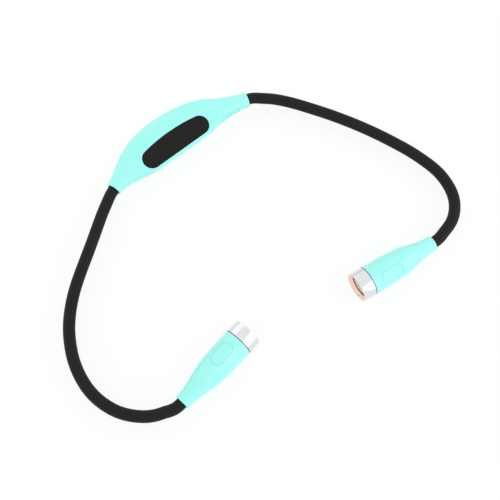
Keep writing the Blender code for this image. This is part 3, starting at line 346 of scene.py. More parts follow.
def round_edges(piece, width, segments=2, angle=50):
    """Rounds the sharp edges of a piece."""
    change = piece.modifiers.new("rounded_edges", "BEVEL")
    change.width, change.segments = width, segments
    change.limit_method, change.angle_limit = "ANGLE", math.radians(angle)
    return settle(piece)


def dress(piece, material, sharp=SHARP_ANGLE):
    """Gives a piece its material and its smooth shading."""
    mesh = piece.data
    mesh.materials.clear()
    mesh.materials.append(material)
    for face in mesh.polygons:
        face.material_index = 0
    mesh.shade_smooth()
    mesh.set_sharp_from_angle(angle=math.radians(sharp))
    return piece


def prism(name, outline, low, high, place=Matrix()):
    """A flat-ended body of an outline in X and Y, from low to high in Z."""
    return piece_of(name, [[place @ Vector((x, y, z)) for x, y in outline] for z in (low, high)])


def lathe(name, profile, place=Matrix(), sides=LATHE_SIDES):
    """A body turned about the +X of its place, from (along, radius) pairs."""
    rings = []
    for along, radius in profile:
        spots = sides if radius > 0 else 1
        angles = [2 * math.pi * i / sides for i in range(spots)]
        rings.append([place @ Vector((along, radius * math.cos(a), radius * math.sin(a))) for a in angles])
    return piece_of(name, rings, closed=profile[0][1] > 0 and profile[-1][1] > 0)


def along_x(direction, up=UP):
    """A rotation whose +X is the direction and whose +Z is as near to up as it can be."""
    forward = Vector(direction).normalized()
    side = Vector(up).cross(forward).normalized()
    return Matrix((forward, side, forward.cross(side))).transposed().to_4x4()


def finish(name, colour, roughness, **steady):
    """A new finish: the wire of its tree and its shader, with the values that are the same all over."""
    material = bpy.data.materials.new(name)
    material.use_nodes = True
    shader = material.node_tree.nodes["Principled BSDF"]
    shader.inputs["Base Color"].default_value = colour
    shader.inputs["Roughness"].default_value = roughness
    for key, value in steady.items():
        shader.inputs[key.replace("_", " ")].default_value = value
    place = Wire(material.node_tree).add("ShaderNodeTexCoord", out="Object")
    return material, shader, place


def noise(place, scale, detail=2.0, rough=0.5):
    """A cloudy value from 0 to 1."""
    sockets = {"Vector": place, "Scale": scale, "Detail": detail, "Roughness": rough}
    return place.add("ShaderNodeTexNoise", {}, sockets)


def dent(height, depth, strength=1.0):
    """A bump of a height map whose full height is a real depth."""
    return height.add("ShaderNodeBump", {}, {"Height": height, "Distance": depth, "Strength": strength})


def mottled(name, colour, roughness, shades, rough, relief, **steady):
    """A finish whose colour, roughness and relief follow a noise each.

    shades ends with the scale and detail of its noise after two colours, rough after the least value and
    the rise, and relief after the depth and strength.
    """
    material, shader, place = finish(name, colour, roughness, **steady)
    dark, light, *grain = shades
    noise(place, *grain).tint(dark, light).feed(shader, "Base Color")
    least, rise, *grain = rough
    (least + rise * noise(place, *grain)).feed(shader, "Roughness")
    depth, strength, *grain = relief
    dent(noise(place, *grain), depth, strength).feed(shader, "Normal")
    return material


turquoise, shader, place = finish("turquoise_gloss", TURQUOISE, 0.26, Coat_Weight=1.0, Coat_Roughness=0.12)
flow = noise(place, 38.0, 3.0)
flow.tint(TURQUOISE_DEEP, TURQUOISE).feed(shader, "Base Color")
(0.22 + 0.06 * noise(place, 420.0, 3.0)).feed(shader, "Roughness")
dent(noise(place, 900.0, 2.0) + 0.3 * noise(place, 5200.0, 2.0), 0.000002, 0.3).feed(shader, "Normal")


def housing_shell(name, half):
    """The upper or the lower shell: its skin, and its inside at the depth of the wall."""
    rings = []
    for row in range(HOUSING_ROWS + 1):
        x = HALF_CHORD * (2 * row / HOUSING_ROWS - 1)
        reach = HALF_CHORD - BELLY if x > BELLY else HALF_CHORD + BELLY
        mouth_wall = MOUTH_RADIUS - SLEEVE_RADIUS - GAP
        wall = mouth_wall + (WALL - mouth_wall) * swelling(abs(x - BELLY) / reach)
        outside = half_section(x, half, 0.0, SEAM)
        rings.append(outside + half_section(x, half, wall, SEAM)[::-1])
    return round_edges(piece_of(name, rings), EDGE_ROUNDING)


def housing_core(name, inset):
    """The whole housing as one body, inset from its skin."""
    rows = [HALF_CHORD * (2 * row / HOUSING_ROWS - 1) for row in range(HOUSING_ROWS + 1)]
    return piece_of(name, [half_section(x, "top", inset) + half_section(x, "base", inset) for x in rows])


upper = housing_shell("upper_moulding", "top")
lower = housing_shell("lower_moulding", "base")

# Grip pad
# A bean-shaped inlay of matt black rubber, glued into a shallow pocket on the sloping face.
# It follows the curve of the face and lies a little below it.
PAD_HALF_LENGTH, PAD_HALF_WIDTH, PAD_END = 0.02615, 0.0071, 0.0062
PAD_SHIFT, PAD_TURN, PAD_PIVOT = -0.00035, 1.2, 0.02
POCKET_INSET, PAD_FLOOR_INSET, PAD_TOP_INSET = 0.00155, 0.00145, 0.00045
PAD_GROWTH, PAD_JOINT = 0.0004, 0.00006
TRAY_WALL, TRAY_DROP, TRAY_INSET = 0.0008, 0.0020, 0.0030
PAD_REACH = 0.004
PAD_BLACK, PAD_GREY = (0.003, 0.003, 0.0035, 1), (0.018, 0.018, 0.0195, 1)

across, up = zip(*TOP_SHARES)
centre, _, outer = spine(BELLY)
slope_outer, slope_inner = (
    centre + outer * across[i] * HALF_WIDTH + UP * up[i] * CREST for i in (SLOPE_OUTER_ROW, SLOPE_INNER_ROW)
)
slope_up = Vector((1, 0, 0)).cross(slope_outer - slope_inner).normalized()
slope_place = Matrix.Translation((slope_outer + slope_inner) / 2) @ along_x((1, 0, 0), slope_up)
pivot = Matrix.Translation((PAD_PIVOT, 0, 0))
turned = Matrix.Rotation(math.radians(PAD_TURN), 4, "Z") @ Matrix.Translation((PAD_SHIFT, 0, 0))
slope_place = slope_place @ pivot @ turned @ pivot.inverted()


def pad_outline(margin, steps=16):
    """A long outline with round ends, a straight inner side and an arched outer side."""
    end, reach = PAD_END + margin, PAD_HALF_LENGTH - PAD_END
    low = PAD_END - PAD_HALF_WIDTH
    rise = PAD_HALF_WIDTH - low
    arch = (reach**2 + rise**2 - PAD_END**2) / (2 * (rise - PAD_END))
    lean = math.asin(reach / (arch - PAD_END))
    points = []
    for i in range(steps + 1):
        angle = -math.pi / 2 + (math.pi - lean) * i / steps
        points.append((reach + end * math.cos(angle), low + end * math.sin(angle)))
    for i in range(1, 2 * steps):
        angle = math.pi / 2 - lean + lean * i / steps
        across, along = (arch + margin) * math.cos(angle), (arch + margin) * math.sin(angle)
        points.append((across, PAD_HALF_WIDTH - arch + along))
    for i in range(steps + 1):
        angle = math.pi / 2 + lean + (math.pi - lean) * i / steps
        points.append((-reach + end * math.cos(angle), low + end * math.sin(angle)))
    return points


tray = prism("tray", pad_outline(TRAY_WALL), -TRAY_DROP, 0, slope_place)
shape(tray, "INTERSECT", housing_core("tray_skin", WALL / 2))
shape(tray, "DIFFERENCE", housing_core("tray_floor", TRAY_INSET))
shape(upper, "UNION", tray)
pocket = prism("pocket", pad_outline(PAD_GROWTH), -PAD_REACH, PAD_REACH, slope_place)
shape(pocket, "DIFFERENCE", housing_core("pocket_floor", POCKET_INSET))

rubber, shader, place = finish("pad_rubber", PAD_BLACK, 0.8, Specular_IOR_Level=0.2)
grain = noise(place, 3600.0, 4.0, 0.7)
blotch = noise(place, 260.0, 3.0)
(0.55 * grain + 0.45 * blotch).tint(PAD_BLACK, PAD_GREY).feed(shader, "Base Color")
(0.72 + 0.2 * grain).feed(shader, "Roughness")
dent(grain + 0.4 * noise(place, 1500.0, 2.0), 0.00006, 0.8).feed(shader, "Normal")
pad = prism("pad_inlay", pad_outline(PAD_GROWTH - PAD_JOINT), -PAD_REACH, PAD_REACH, slope_place)
shape(pad, "INTERSECT", housing_core("pad_top", PAD_TOP_INSET))
shape(pad, "DIFFERENCE", housing_core("pad_floor", PAD_FLOOR_INSET))
dress(pad, rubber)
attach(pad, "housing")
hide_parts("grip_pad")

# Charging port
# An opening in the inner wall near the right mouth, with a soft turquoise flap that follows the wall.
# The flap has a plug on its back and swings on its strap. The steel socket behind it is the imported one.
PORT_SETBACK, PORT_DROP, PORT_REACH = 0.01593, 0.0004, 0.0075
FLAP_LENGTH, FLAP_HEIGHT, FLAP_CORNER, FLAP_THICKNESS = 0.0112, 0.0062, 0.0012, 0.0008
FLAP_HINGE_SETBACK = 0.0071
FLAP_JOINT, STRAP_JOINT, STRAP_SHIFT = 0.00005, 0.00022, 0.0011
PLUG_LENGTH, PLUG_HEIGHT, PLUG_DEPTH = 0.008, 0.003, 0.0009
CUT_OVERRUN = 0.004
SAME_SPOT = 0.001


def inner_wall(x):
    """A point on the inner wall of the housing, level with the parting plane."""
    centre, _, outer = spine(x)
    return centre - outer * (MOUTH_RADIUS + (HALF_WIDTH - MOUTH_RADIUS) * widening(x / HALF_CHORD))


def rounded_box(low, high, width, radius, steps=6):
    """An outline from low to high in X, with round corners and its middle on the X axis."""
    points = []
    for x, y, start in (
        (high - radius, width / 2 - radius, 0), (low + radius, width / 2 - radius, 90),
        (low + radius, radius - width / 2, 180), (high - radius, radius - width / 2, 270),
    ):
        for i in range(steps + 1):
            angle = math.radians(start + 90 * i / steps)
            point = (x + radius * math.cos(angle), y + radius * math.sin(angle))
            if not points or math.dist(point, points[-1]) > radius * SAME_SPOT:
                points.append(point)
    return points if math.dist(points[0], points[-1]) > radius * SAME_SPOT else points[:-1]


port_x = HALF_CHORD - PORT_SETBACK
wall_run = (inner_wall(port_x + CUT_OVERRUN) - inner_wall(port_x - CUT_OVERRUN)).normalized()
port_turn = Matrix((wall_run, UP, Vector((wall_run.y, -wall_run.x, 0)))).transposed().to_4x4()
port_place = Matrix.Translation(inner_wall(port_x) - UP * PORT_DROP) @ port_turn
strap_end = (port_place.inverted() @ (inner_wall(HALF_CHORD - FLAP_HINGE_SETBACK) - UP * PORT_DROP)).x


def flap_body(name, margin, deep):
    """The flap, or the seat that it lies in: an outline cut down to a skin of the housing."""
    low, high = -FLAP_LENGTH / 2 - GAP - margin, strap_end - STRAP_SHIFT + (STRAP_JOINT if margin else 0)
    outline = rounded_box(low, high, FLAP_HEIGHT + 2 * (GAP + margin), FLAP_CORNER + margin)
    body = prism(name, outline, -PORT_REACH, CUT_OVERRUN, port_place)
    return shape(body, "DIFFERENCE", housing_core(name + "_floor", deep))


plug_outline = rounded_box(-PLUG_LENGTH / 2, PLUG_LENGTH / 2, PLUG_HEIGHT, PLUG_HEIGHT / 2)
hole_width, hole_height = PLUG_LENGTH + 2 * GAP, PLUG_HEIGHT + 2 * GAP
hole_outline = rounded_box(-hole_width / 2, hole_width / 2, hole_height, hole_height / 2)
hole_end = -WALL - CUT_OVERRUN / 2
for shell in (upper, lower):
    shape(shell, "DIFFERENCE", flap_body("port_seat", FLAP_JOINT, FLAP_THICKNESS + GAP))
    shape(shell, "DIFFERENCE", prism("port_hole", hole_outline, hole_end, CUT_OVERRUN, port_place))
flap = shape(flap_body("port_flap", 0, FLAP_THICKNESS), "INTERSECT", housing_core("flap_skin", 0))
plug = prism("plug", plug_outline, -FLAP_THICKNESS - PLUG_DEPTH, -FLAP_THICKNESS / 2, port_place)
shape(flap, "UNION", plug)

soft_turquoise = mottled(
    "turquoise_rubber", TURQUOISE, 0.45, shades=(TURQUOISE_DEEP, TURQUOISE, 300.0, 3.0),
    rough=(0.4, 0.15, 900.0, 3.0), relief=(0.00002, 0.6, 4200.0, 3.0), Specular_IOR_Level=0.4,
)
dress(flap, soft_turquoise)
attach(flap, "port_cover")
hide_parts("port_cover")

# Case screws and their bosses
# Four plated pan-head screws with cross recesses stand head down in counterbores of the lower shell.
# They bite into bosses of the upper one.
SCREW_PLACES = ((-0.0294983, 0.0025), (-0.0145022, 0.0084), (0.0064991, 0.0084), (0.0189977, 0.0050))
SCREW_HEAD, SCREW_HEAD_HEIGHT, SCREW_SHANK = 0.0016, 0.0012, 0.001
SCREW_BELOW, SCREW_ABOVE = 0.0042, 0.003
CROSS_WIDTH, CROSS_LENGTH, CROSS_DEPTH = 0.0005, 0.0018, 0.0006
BOSS_WALL, BOSS_SINK, BOSS_SIDES = 0.0008, 0.0009, 32
THREAD_PITCH, THREAD_DEPTH, SCREW_SIDES = 0.0006, 0.00012, 12


def height_at(x, y, half):
    """How far the skin of the housing is from the parting plane at (x, y)."""
    centre, _, outer = spine(x)
    across = (y - centre.y) / outer.y
    flat = sorted(((point - centre).dot(outer), point.z - centre.z) for point in half_section(x, half))
    for (low, low_z), (high, high_z) in zip(flat, flat[1:]):
        if low <= across <= high:
            return low_z + (high_z - low_z) * (across - low) / (high - low)


bore, counterbore = SCREW_SHANK + GAP, SCREW_HEAD + GAP
seat, foot = SCREW_BELOW - GAP, SCREW_BELOW + SCREW_HEAD_HEIGHT
end = PARTING + CUT_OVERRUN
for x, y in SCREW_PLACES:
    place = Matrix.Translation((x, y, PARTING)) @ along_x((0, 0, -1), (0, 1, 0))
    roof, floor = height_at(x, y, "top") - BOSS_SINK, -height_at(x, y, "base") - BOSS_SINK
    upper_boss = [(-roof, 0), (-roof, bore + BOSS_WALL), (-GAP, bore + BOSS_WALL), (-GAP, 0)]
    lower_boss = [(GAP, 0), (GAP, counterbore + BOSS_WALL), (floor, counterbore + BOSS_WALL), (floor, 0)]
    upper_bore = [(-SCREW_ABOVE - GAP, 0), (-SCREW_ABOVE - GAP, bore), (CUT_OVERRUN, bore), (CUT_OVERRUN, 0)]
    lower_bore = [
        (-CUT_OVERRUN, 0), (-CUT_OVERRUN, bore), (seat, bore), (seat, counterbore),
        (end, counterbore), (end, 0),
    ]
    for shell, operation, profile in (
        (upper, "UNION", upper_boss), (lower, "UNION", lower_boss),
        (upper, "DIFFERENCE", upper_bore), (lower, "DIFFERENCE", lower_bore),
    ):
        shape(shell, operation, lathe("boss_tool", profile, place, BOSS_SIDES))
shape(upper, "DIFFERENCE", pocket)

for piece, node in ((upper, "upper_shell"), (lower, "lower_shell")):
    dress(piece, turquoise)
    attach(piece, "housing")
    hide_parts(node)

steel = mottled(
    "fastener_steel", (0.6, 0.6, 0.62, 1), 0.3,
    shades=((0.5, 0.5, 0.52, 1), (0.68, 0.68, 0.7, 1), 700.0, 3.0),
    rough=(0.24, 0.2, 2400.0, 3.0), relief=(0.000015, 0.5, 5000.0, 2.0), Metallic=1.0,
)

thread_start = SCREW_SHANK - SCREW_ABOVE
screw_profile = [(-SCREW_ABOVE, 0), (-SCREW_ABOVE, SCREW_SHANK / 2), (thread_start, SCREW_SHANK)]
turns = round((SCREW_BELOW + SCREW_ABOVE - 2 * SCREW_SHANK) / THREAD_PITCH)
for i in range(turns):
    low = thread_start + i * THREAD_PITCH
    screw_profile += [(low + THREAD_PITCH / 2, SCREW_SHANK - THREAD_DEPTH), (low + THREAD_PITCH, SCREW_SHANK)]
screw_profile += [
    (SCREW_BELOW, SCREW_SHANK), (SCREW_BELOW, SCREW_HEAD), (foot - SCREW_HEAD_HEIGHT / 2, SCREW_HEAD),
    (foot, SCREW_HEAD - SCREW_HEAD_HEIGHT / 2), (foot, 0),
]
screw = lathe("screw_shape", screw_profile, along_x((0, 0, -1), (0, 1, 0)), SCREW_SIDES)
a, b = CROSS_WIDTH / 2, CROSS_LENGTH / 2
cross = [
    (a, b), (-a, b), (-a, a), (-b, a), (-b, -a), (-a, -a),
    (-a, -b), (a, -b), (a, -a), (b, -a), (b, a), (a, a),
]
shape(screw, "DIFFERENCE", prism("cross", cross, -foot - CUT_OVERRUN, CROSS_DEPTH - foot))


def geometry_group(name, *sockets):
    """A new geometry tree with named inputs, and those inputs as wires."""
    tree = bpy.data.node_groups.new(name, "GeometryNodeTree")
    tree.interface.new_socket("Geometry", in_out="OUTPUT", socket_type="NodeSocketGeometry")
    for label, kind in sockets:
        tree.interface.new_socket(label, in_out="INPUT", socket_type="NodeSocket" + kind)
    entry = tree.nodes.new("NodeGroupInput")
    return tree, [Wire(tree, entry.outputs[label]) for label, _ in sockets]


def close_group(geometry, material):
    """Ends a geometry tree: real geometry with its material."""
    real = geometry.add("GeometryNodeRealizeInstances", {}, {"Geometry": geometry})
    done = real.add("GeometryNodeSetMaterial", {}, {"Geometry": real, "Material": material})
    leave = geometry.tree.nodes.new("NodeGroupOutput")
    geometry.tree.links.new(done.socket, leave.inputs["Geometry"])


def grown(name, group, inputs, base=None):
    """A piece made by a geometry tree from its named inputs."""
    piece = bpy.data.objects.new(name, base or bpy.data.meshes.new(name))
    bpy.context.scene.collection.objects.link(piece)
    change = piece.modifiers.new("grown", "NODES")
    change.node_group = group
    for item in group.interface.items_tree:
        if item.in_out == "INPUT" and item.name in inputs:
            change[item.identifier] = inputs[item.name]
    settle(piece)
    work = bmesh.new()
    work.from_mesh(piece.data)
    face_outwards(work, piece.data)
    return piece


scatter, (spots, copy, material) = geometry_group(
    "one_at_each_point", ("Points", "Geometry"), ("Copy", "Object"), ("Material", "Material"),
)
each = copy.add("GeometryNodeObjectInfo", {}, {"Object": copy}, "Geometry")
close_group(each.add("GeometryNodeInstanceOnPoints", {}, {"Points": spots, "Instance": each}), material)
marks = bpy.data.meshes.new("screw_places")
marks.from_pydata([(x, y, PARTING) for x, y in SCREW_PLACES], [], [])
screws = grown("case_screws", scatter, {"Copy": screw, "Material": steel}, marks)
bpy.data.objects.remove(screw)
dress(screws, steel)
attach(screws, "housing")
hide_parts(*(f"case_screw_{side}" for side in ("left", "rear_left", "rear_right", "right")))

# Arms
# A seamless tube of matt black rubber covers a gooseneck of wound steel wire, with one lead inside it.
# The gooseneck is swaged into a steel collar at each end.
ARM_LENGTH = 0.201
STATIONS = (0.07, 0.32, 0.57, 0.80)
STATION_STRAIGHT = 0.005
HEADINGS = {
    "left": (-145, -141, -145, -142, -131, -126, -110, -89, -86, -59, -30, -24, 10),
    "right": (-44, -58, -56, -61, -65, -67, -71, -82, -84, -115, -159, -163, -187),
}
BENDS_BETWEEN = 2
SLEEVE_BORE, SLEEVE_INSERT = 0.0026, 0.007
COLLAR_RADIUS, COLLAR_LENGTH, COLLAR_ROLL = 0.0039, 0.005, 0.0002
COIL_RADIUS, COIL_WIRE, COIL_PITCH = 0.0018, 0.0005, 0.00106
LEAD_RADIUS = 0.0008
ROUTE_STEP, RUNOUT = 0.0008, 0.0125
ROUTE_EVENING = 0.012
BEND_REACH = 0.013
SLEEVE_SIDES, LEAD_SIDES, COLLAR_SIDES = 48, 16, 48
WIRE_SIDES, POINTS_PER_TURN = 8, 14
WELD = 0.00001
SLEEVE_BLACK, SLEEVE_GREY = (0.002, 0.002, 0.0025, 1), (0.016, 0.016, 0.018, 1)


def towards(heading):
    """The level direction of a heading."""
    return Vector((math.cos(heading), math.sin(heading), 0))


def arm_knots(side):
    """(distance, heading) pairs of an arm from its mouth in the housing to that in the head."""
    _, travel, _ = spine(HALF_CHORD if side == "right" else -HALF_CHORD)
    sign = 1 if side == "right" else -1
    knots = [(0.0, math.atan2(sign * travel.y, sign * travel.x))]
    turns = iter(HEADINGS[side])
    for share in (*STATIONS, None):
        end = share * ARM_LENGTH - STATION_STRAIGHT if share else ARM_LENGTH
        start = knots[-1][0]
        if start:
            for i in range(1, BENDS_BETWEEN + 1):
                knots.append((start + (end - start) * i / (BENDS_BETWEEN + 1), math.radians(next(turns))))
        heading = math.radians(next(turns))
        knots.append((end, heading))
        if share:
            knots.append((end + 2 * STATION_STRAIGHT, heading))
    return knots


def on_route(mouth, knots, distance):
    """The point and the heading of an arm at a distance from its mouth."""
    point = mouth.copy()
    heading = knots[0][1]
    if distance <= 0:
        return point + distance * towards(heading), heading
    for (start, first), (end, second) in zip(knots, knots[1:]):
        length = min(distance, end) - start
        heading = first + (second - first) * length / (end - start)
        if heading == first:
            point += length * towards(first)
        else:
            radius = length / (heading - first)
            across, back = math.sin(heading) - math.sin(first), math.cos(first) - math.cos(heading)
            point += radius * Vector((across, back, 0))
        if distance <= end:
            return point, heading
    return point + (distance - ARM_LENGTH) * towards(heading), heading


def evened(points, reach, fixed):
    """Points whose bends are spread evenly over a reach of points. A fixed number stays at each end."""
    rooms = [min(i, len(points) - 1 - i) - fixed for i in range(len(points))]

    def spread(row):
        soft = []
        for i, room in enumerate(rooms):
            near = max(0, min(reach, room))
            around = row[i - near:i + near + 1]
            soft.append(sum(around, Vector((0, 0, 0))) / len(around))
        return soft

    once = spread(points)
    return [2 * a - b for a, b in zip(once, spread(once))]


def length_of(points):
    """The length of a row of points."""
    return sum((b - a).length for a, b in zip(points, points[1:]))


def path_of(name, points):
    """A curve through points, for a geometry tree to follow."""
    curve = bpy.data.curves.new(name, "CURVE")
    curve.dimensions = "3D"
    line = curve.splines.new("POLY")
    line.points.add(len(points) - 1)
    for spot, point in zip(line.points, points):
        spot.co = (*point, 1)
    path = bpy.data.objects.new(name, curve)
    bpy.context.scene.collection.objects.link(path)
    return path


def sampled(path, length):
    """The place on a path at a length along it, and its level and upright normals."""
    curve = path.add("GeometryNodeObjectInfo", {}, {"Object": path}, "Geometry")
    curve = curve.add("GeometryNodeSetCurveNormal", {"mode": "Z_UP"}, {"Curve": curve})
    spot = curve.add(
        "GeometryNodeSampleCurve", {"mode": "LENGTH", "use_all_curves": True},
        {"Curves": curve, "Length": length}, "Position",
    )
    level = spot.twin("Normal")
    return spot, level, spot.vector("CROSS_PRODUCT", spot.twin("Tangent"), level)


def round_path(spot, level, upright, angle, radius):
    """A point at an angle and a radius round a place on a path."""
    sideways = level.vector("SCALE", level, radius * angle.math("COSINE", angle))
    upwards = level.vector("SCALE", upright, radius * angle.math("SINE", angle))
    return level.vector("ADD", spot, level.vector("ADD", sideways, upwards))


tube, (path, start, end, outer, bore, rings, sides, material) = geometry_group(
    "tube_on_a_path", ("Path", "Object"), ("From", "Float"), ("To", "Float"), ("Outer Radius", "Float"),
    ("Bore Radius", "Float"), ("Rings", "Int"), ("Sides", "Int"), ("Material", "Material"),
)
grid = sides.add(
    "GeometryNodeMeshGrid", {},
    {"Size X": 1.0, "Size Y": 1.0, "Vertices X": sides + 1, "Vertices Y": 2 * rings + 1}, "Mesh",
)
here = grid.add("GeometryNodeInputPosition")
row = (0.5 + here.part("Y")) * (2 * rings)
row = row.math("MODULO", row.math("ROUND", row), 2 * rings)
share = row.math("MINIMUM", row, 2 * rings - 1 - row) / (rings - 1)
inside = row.math("GREATER_THAN", row, rings - 0.5)
angle = (2 * math.pi) * (0.5 + here.part("X"))
spot, level, upright = sampled(path, start + share * (end - start))
ring = round_path(spot, level, upright, angle, outer - inside * (outer - bore))
wrapped = grid.add("GeometryNodeSetPosition", {}, {"Geometry": grid, "Position": ring})
welded = wrapped.add("GeometryNodeMergeByDistance", {}, {"Geometry": wrapped, "Distance": WELD})
close_group(welded, material)

winding, (path, start, end, radius, wire, pitch, points, material) = geometry_group(
    "wire_wound_on_a_path", ("Path", "Object"), ("From", "Float"), ("To", "Float"), ("Coil Radius", "Float"),
    ("Wire Radius", "Float"), ("Pitch", "Float"), ("Points", "Int"), ("Material", "Material"),
)
line = path.add("GeometryNodeCurvePrimitiveLine", {}, {"End": (1, 0, 0)})
line = line.add("GeometryNodeResampleCurve", {}, {"Curve": line, "Count": points})
length = start + line.add("GeometryNodeSplineParameter", out="Factor") * (end - start)
spot, level, upright = sampled(path, length)
helix = round_path(spot, level, upright, (2 * math.pi) * length / pitch, radius)
line = line.add("GeometryNodeSetPosition", {}, {"Geometry": line, "Position": helix})
section = line.add("GeometryNodeCurvePrimitiveCircle", {}, {"Resolution": WIRE_SIDES, "Radius": wire})
wound = line.add("GeometryNodeCurveToMesh", {}, {"Curve": line, "Profile Curve": section, "Fill Caps": True})
close_group(wound, material)

black, shader, place = finish("sleeve_rubber", (0.008, 0.008, 0.009, 1), 0.55, Specular_IOR_Level=0.18)
# Broad lighter patches on the black sleeve: partly real scuffs, partly a painted sheen that stands in for
# light catching the rubber.
scuff_and_sheen = noise(place, 55.0, 4.0, 0.6)
grain = noise(place, 2600.0, 3.0, 0.6)
(0.5 * scuff_and_sheen + 0.5 * grain).tint(SLEEVE_BLACK, SLEEVE_GREY).feed(shader, "Base Color")
(0.42 + 0.26 * scuff_and_sheen + 0.1 * grain).feed(shader, "Roughness")
dent(grain, 0.00004, 0.7).feed(shader, "Normal")

spring = mottled(
    "gooseneck_steel", (0.62, 0.62, 0.64, 1), 0.3,
    shades=((0.5, 0.5, 0.52, 1), (0.7, 0.7, 0.72, 1), 900.0, 3.0),
    rough=(0.22, 0.22, 3100.0, 2.0), relief=(0.00001, 0.5, 6000.0, 2.0), Metallic=1.0,
)
LEAD_ROUGH, LEAD_RELIEF = (0.35, 0.2, 2000.0, 2.0), (0.00001, 0.4, 5200.0, 2.0)
cable = mottled(
    "lead_insulation", (0.02, 0.02, 0.02, 1), 0.45,
    shades=((0.014, 0.014, 0.014, 1), (0.03, 0.03, 0.03, 1), 800.0, 2.0),
    rough=LEAD_ROUGH, relief=LEAD_RELIEF,
)

LEAD_START = {
    "left": (
        (0.02425, -0.004, 0.0089), (0.02126, -0.0024, 0.0089), (0.01401, -0.00147, 0.0126),
        (-0.005, -0.00052, 0.0126), (-0.024, -0.00205, 0.0126), (-0.0303, -0.00297, 0.01123),
    ),
    "right": ((0.04164, -0.00405, 0.0089),),
}
LEAD_END = ((0.0216, 0, 0.00326), (0.0276, 0, 0.0045), (0.0304, 0, 0.00445))
HEAD_ROLLS = {"left": -7, "right": -32}


def eased(points, steps=10):
    """A smooth row of points through the given ones."""
    ends = [2 * points[0] - points[1], *points, 2 * points[-1] - points[-2]]
    row = []
    for a, b, c, d in zip(ends, ends[1:], ends[2:], ends[3:]):
        for i in range(steps):
            t = i / steps
            curved = (2 * a - 5 * b + 4 * c - d) * t**2 + (3 * b - a - 3 * c + d) * t**3
            row.append((2 * b + (c - a) * t + curved) / 2)
    return row + [points[-1]]


def softened(points, radius, steps=4, least=20, most=0.45):
    """A closed profile with its corners sharper than least rounded, over at most a share of each side."""
    soft = []
    for before, point, after in zip(points[-1:] + points[:-1], points, points[1:] + points[:1]):
        before, point, after = Vector(before), Vector(point), Vector(after)
        into, out = point - before, after - point
        if into.angle(out) < math.radians(least):
            soft.append(tuple(point))
            continue
        start = point - into.normalized() * min(radius, most * into.length)
        end = point + out.normalized() * min(radius, most * out.length)
        for i in range(steps + 1):
            t = i / steps
            soft.append(tuple((1 - t) ** 2 * start + 2 * t * (1 - t) * point + t * t * end))
    return soft


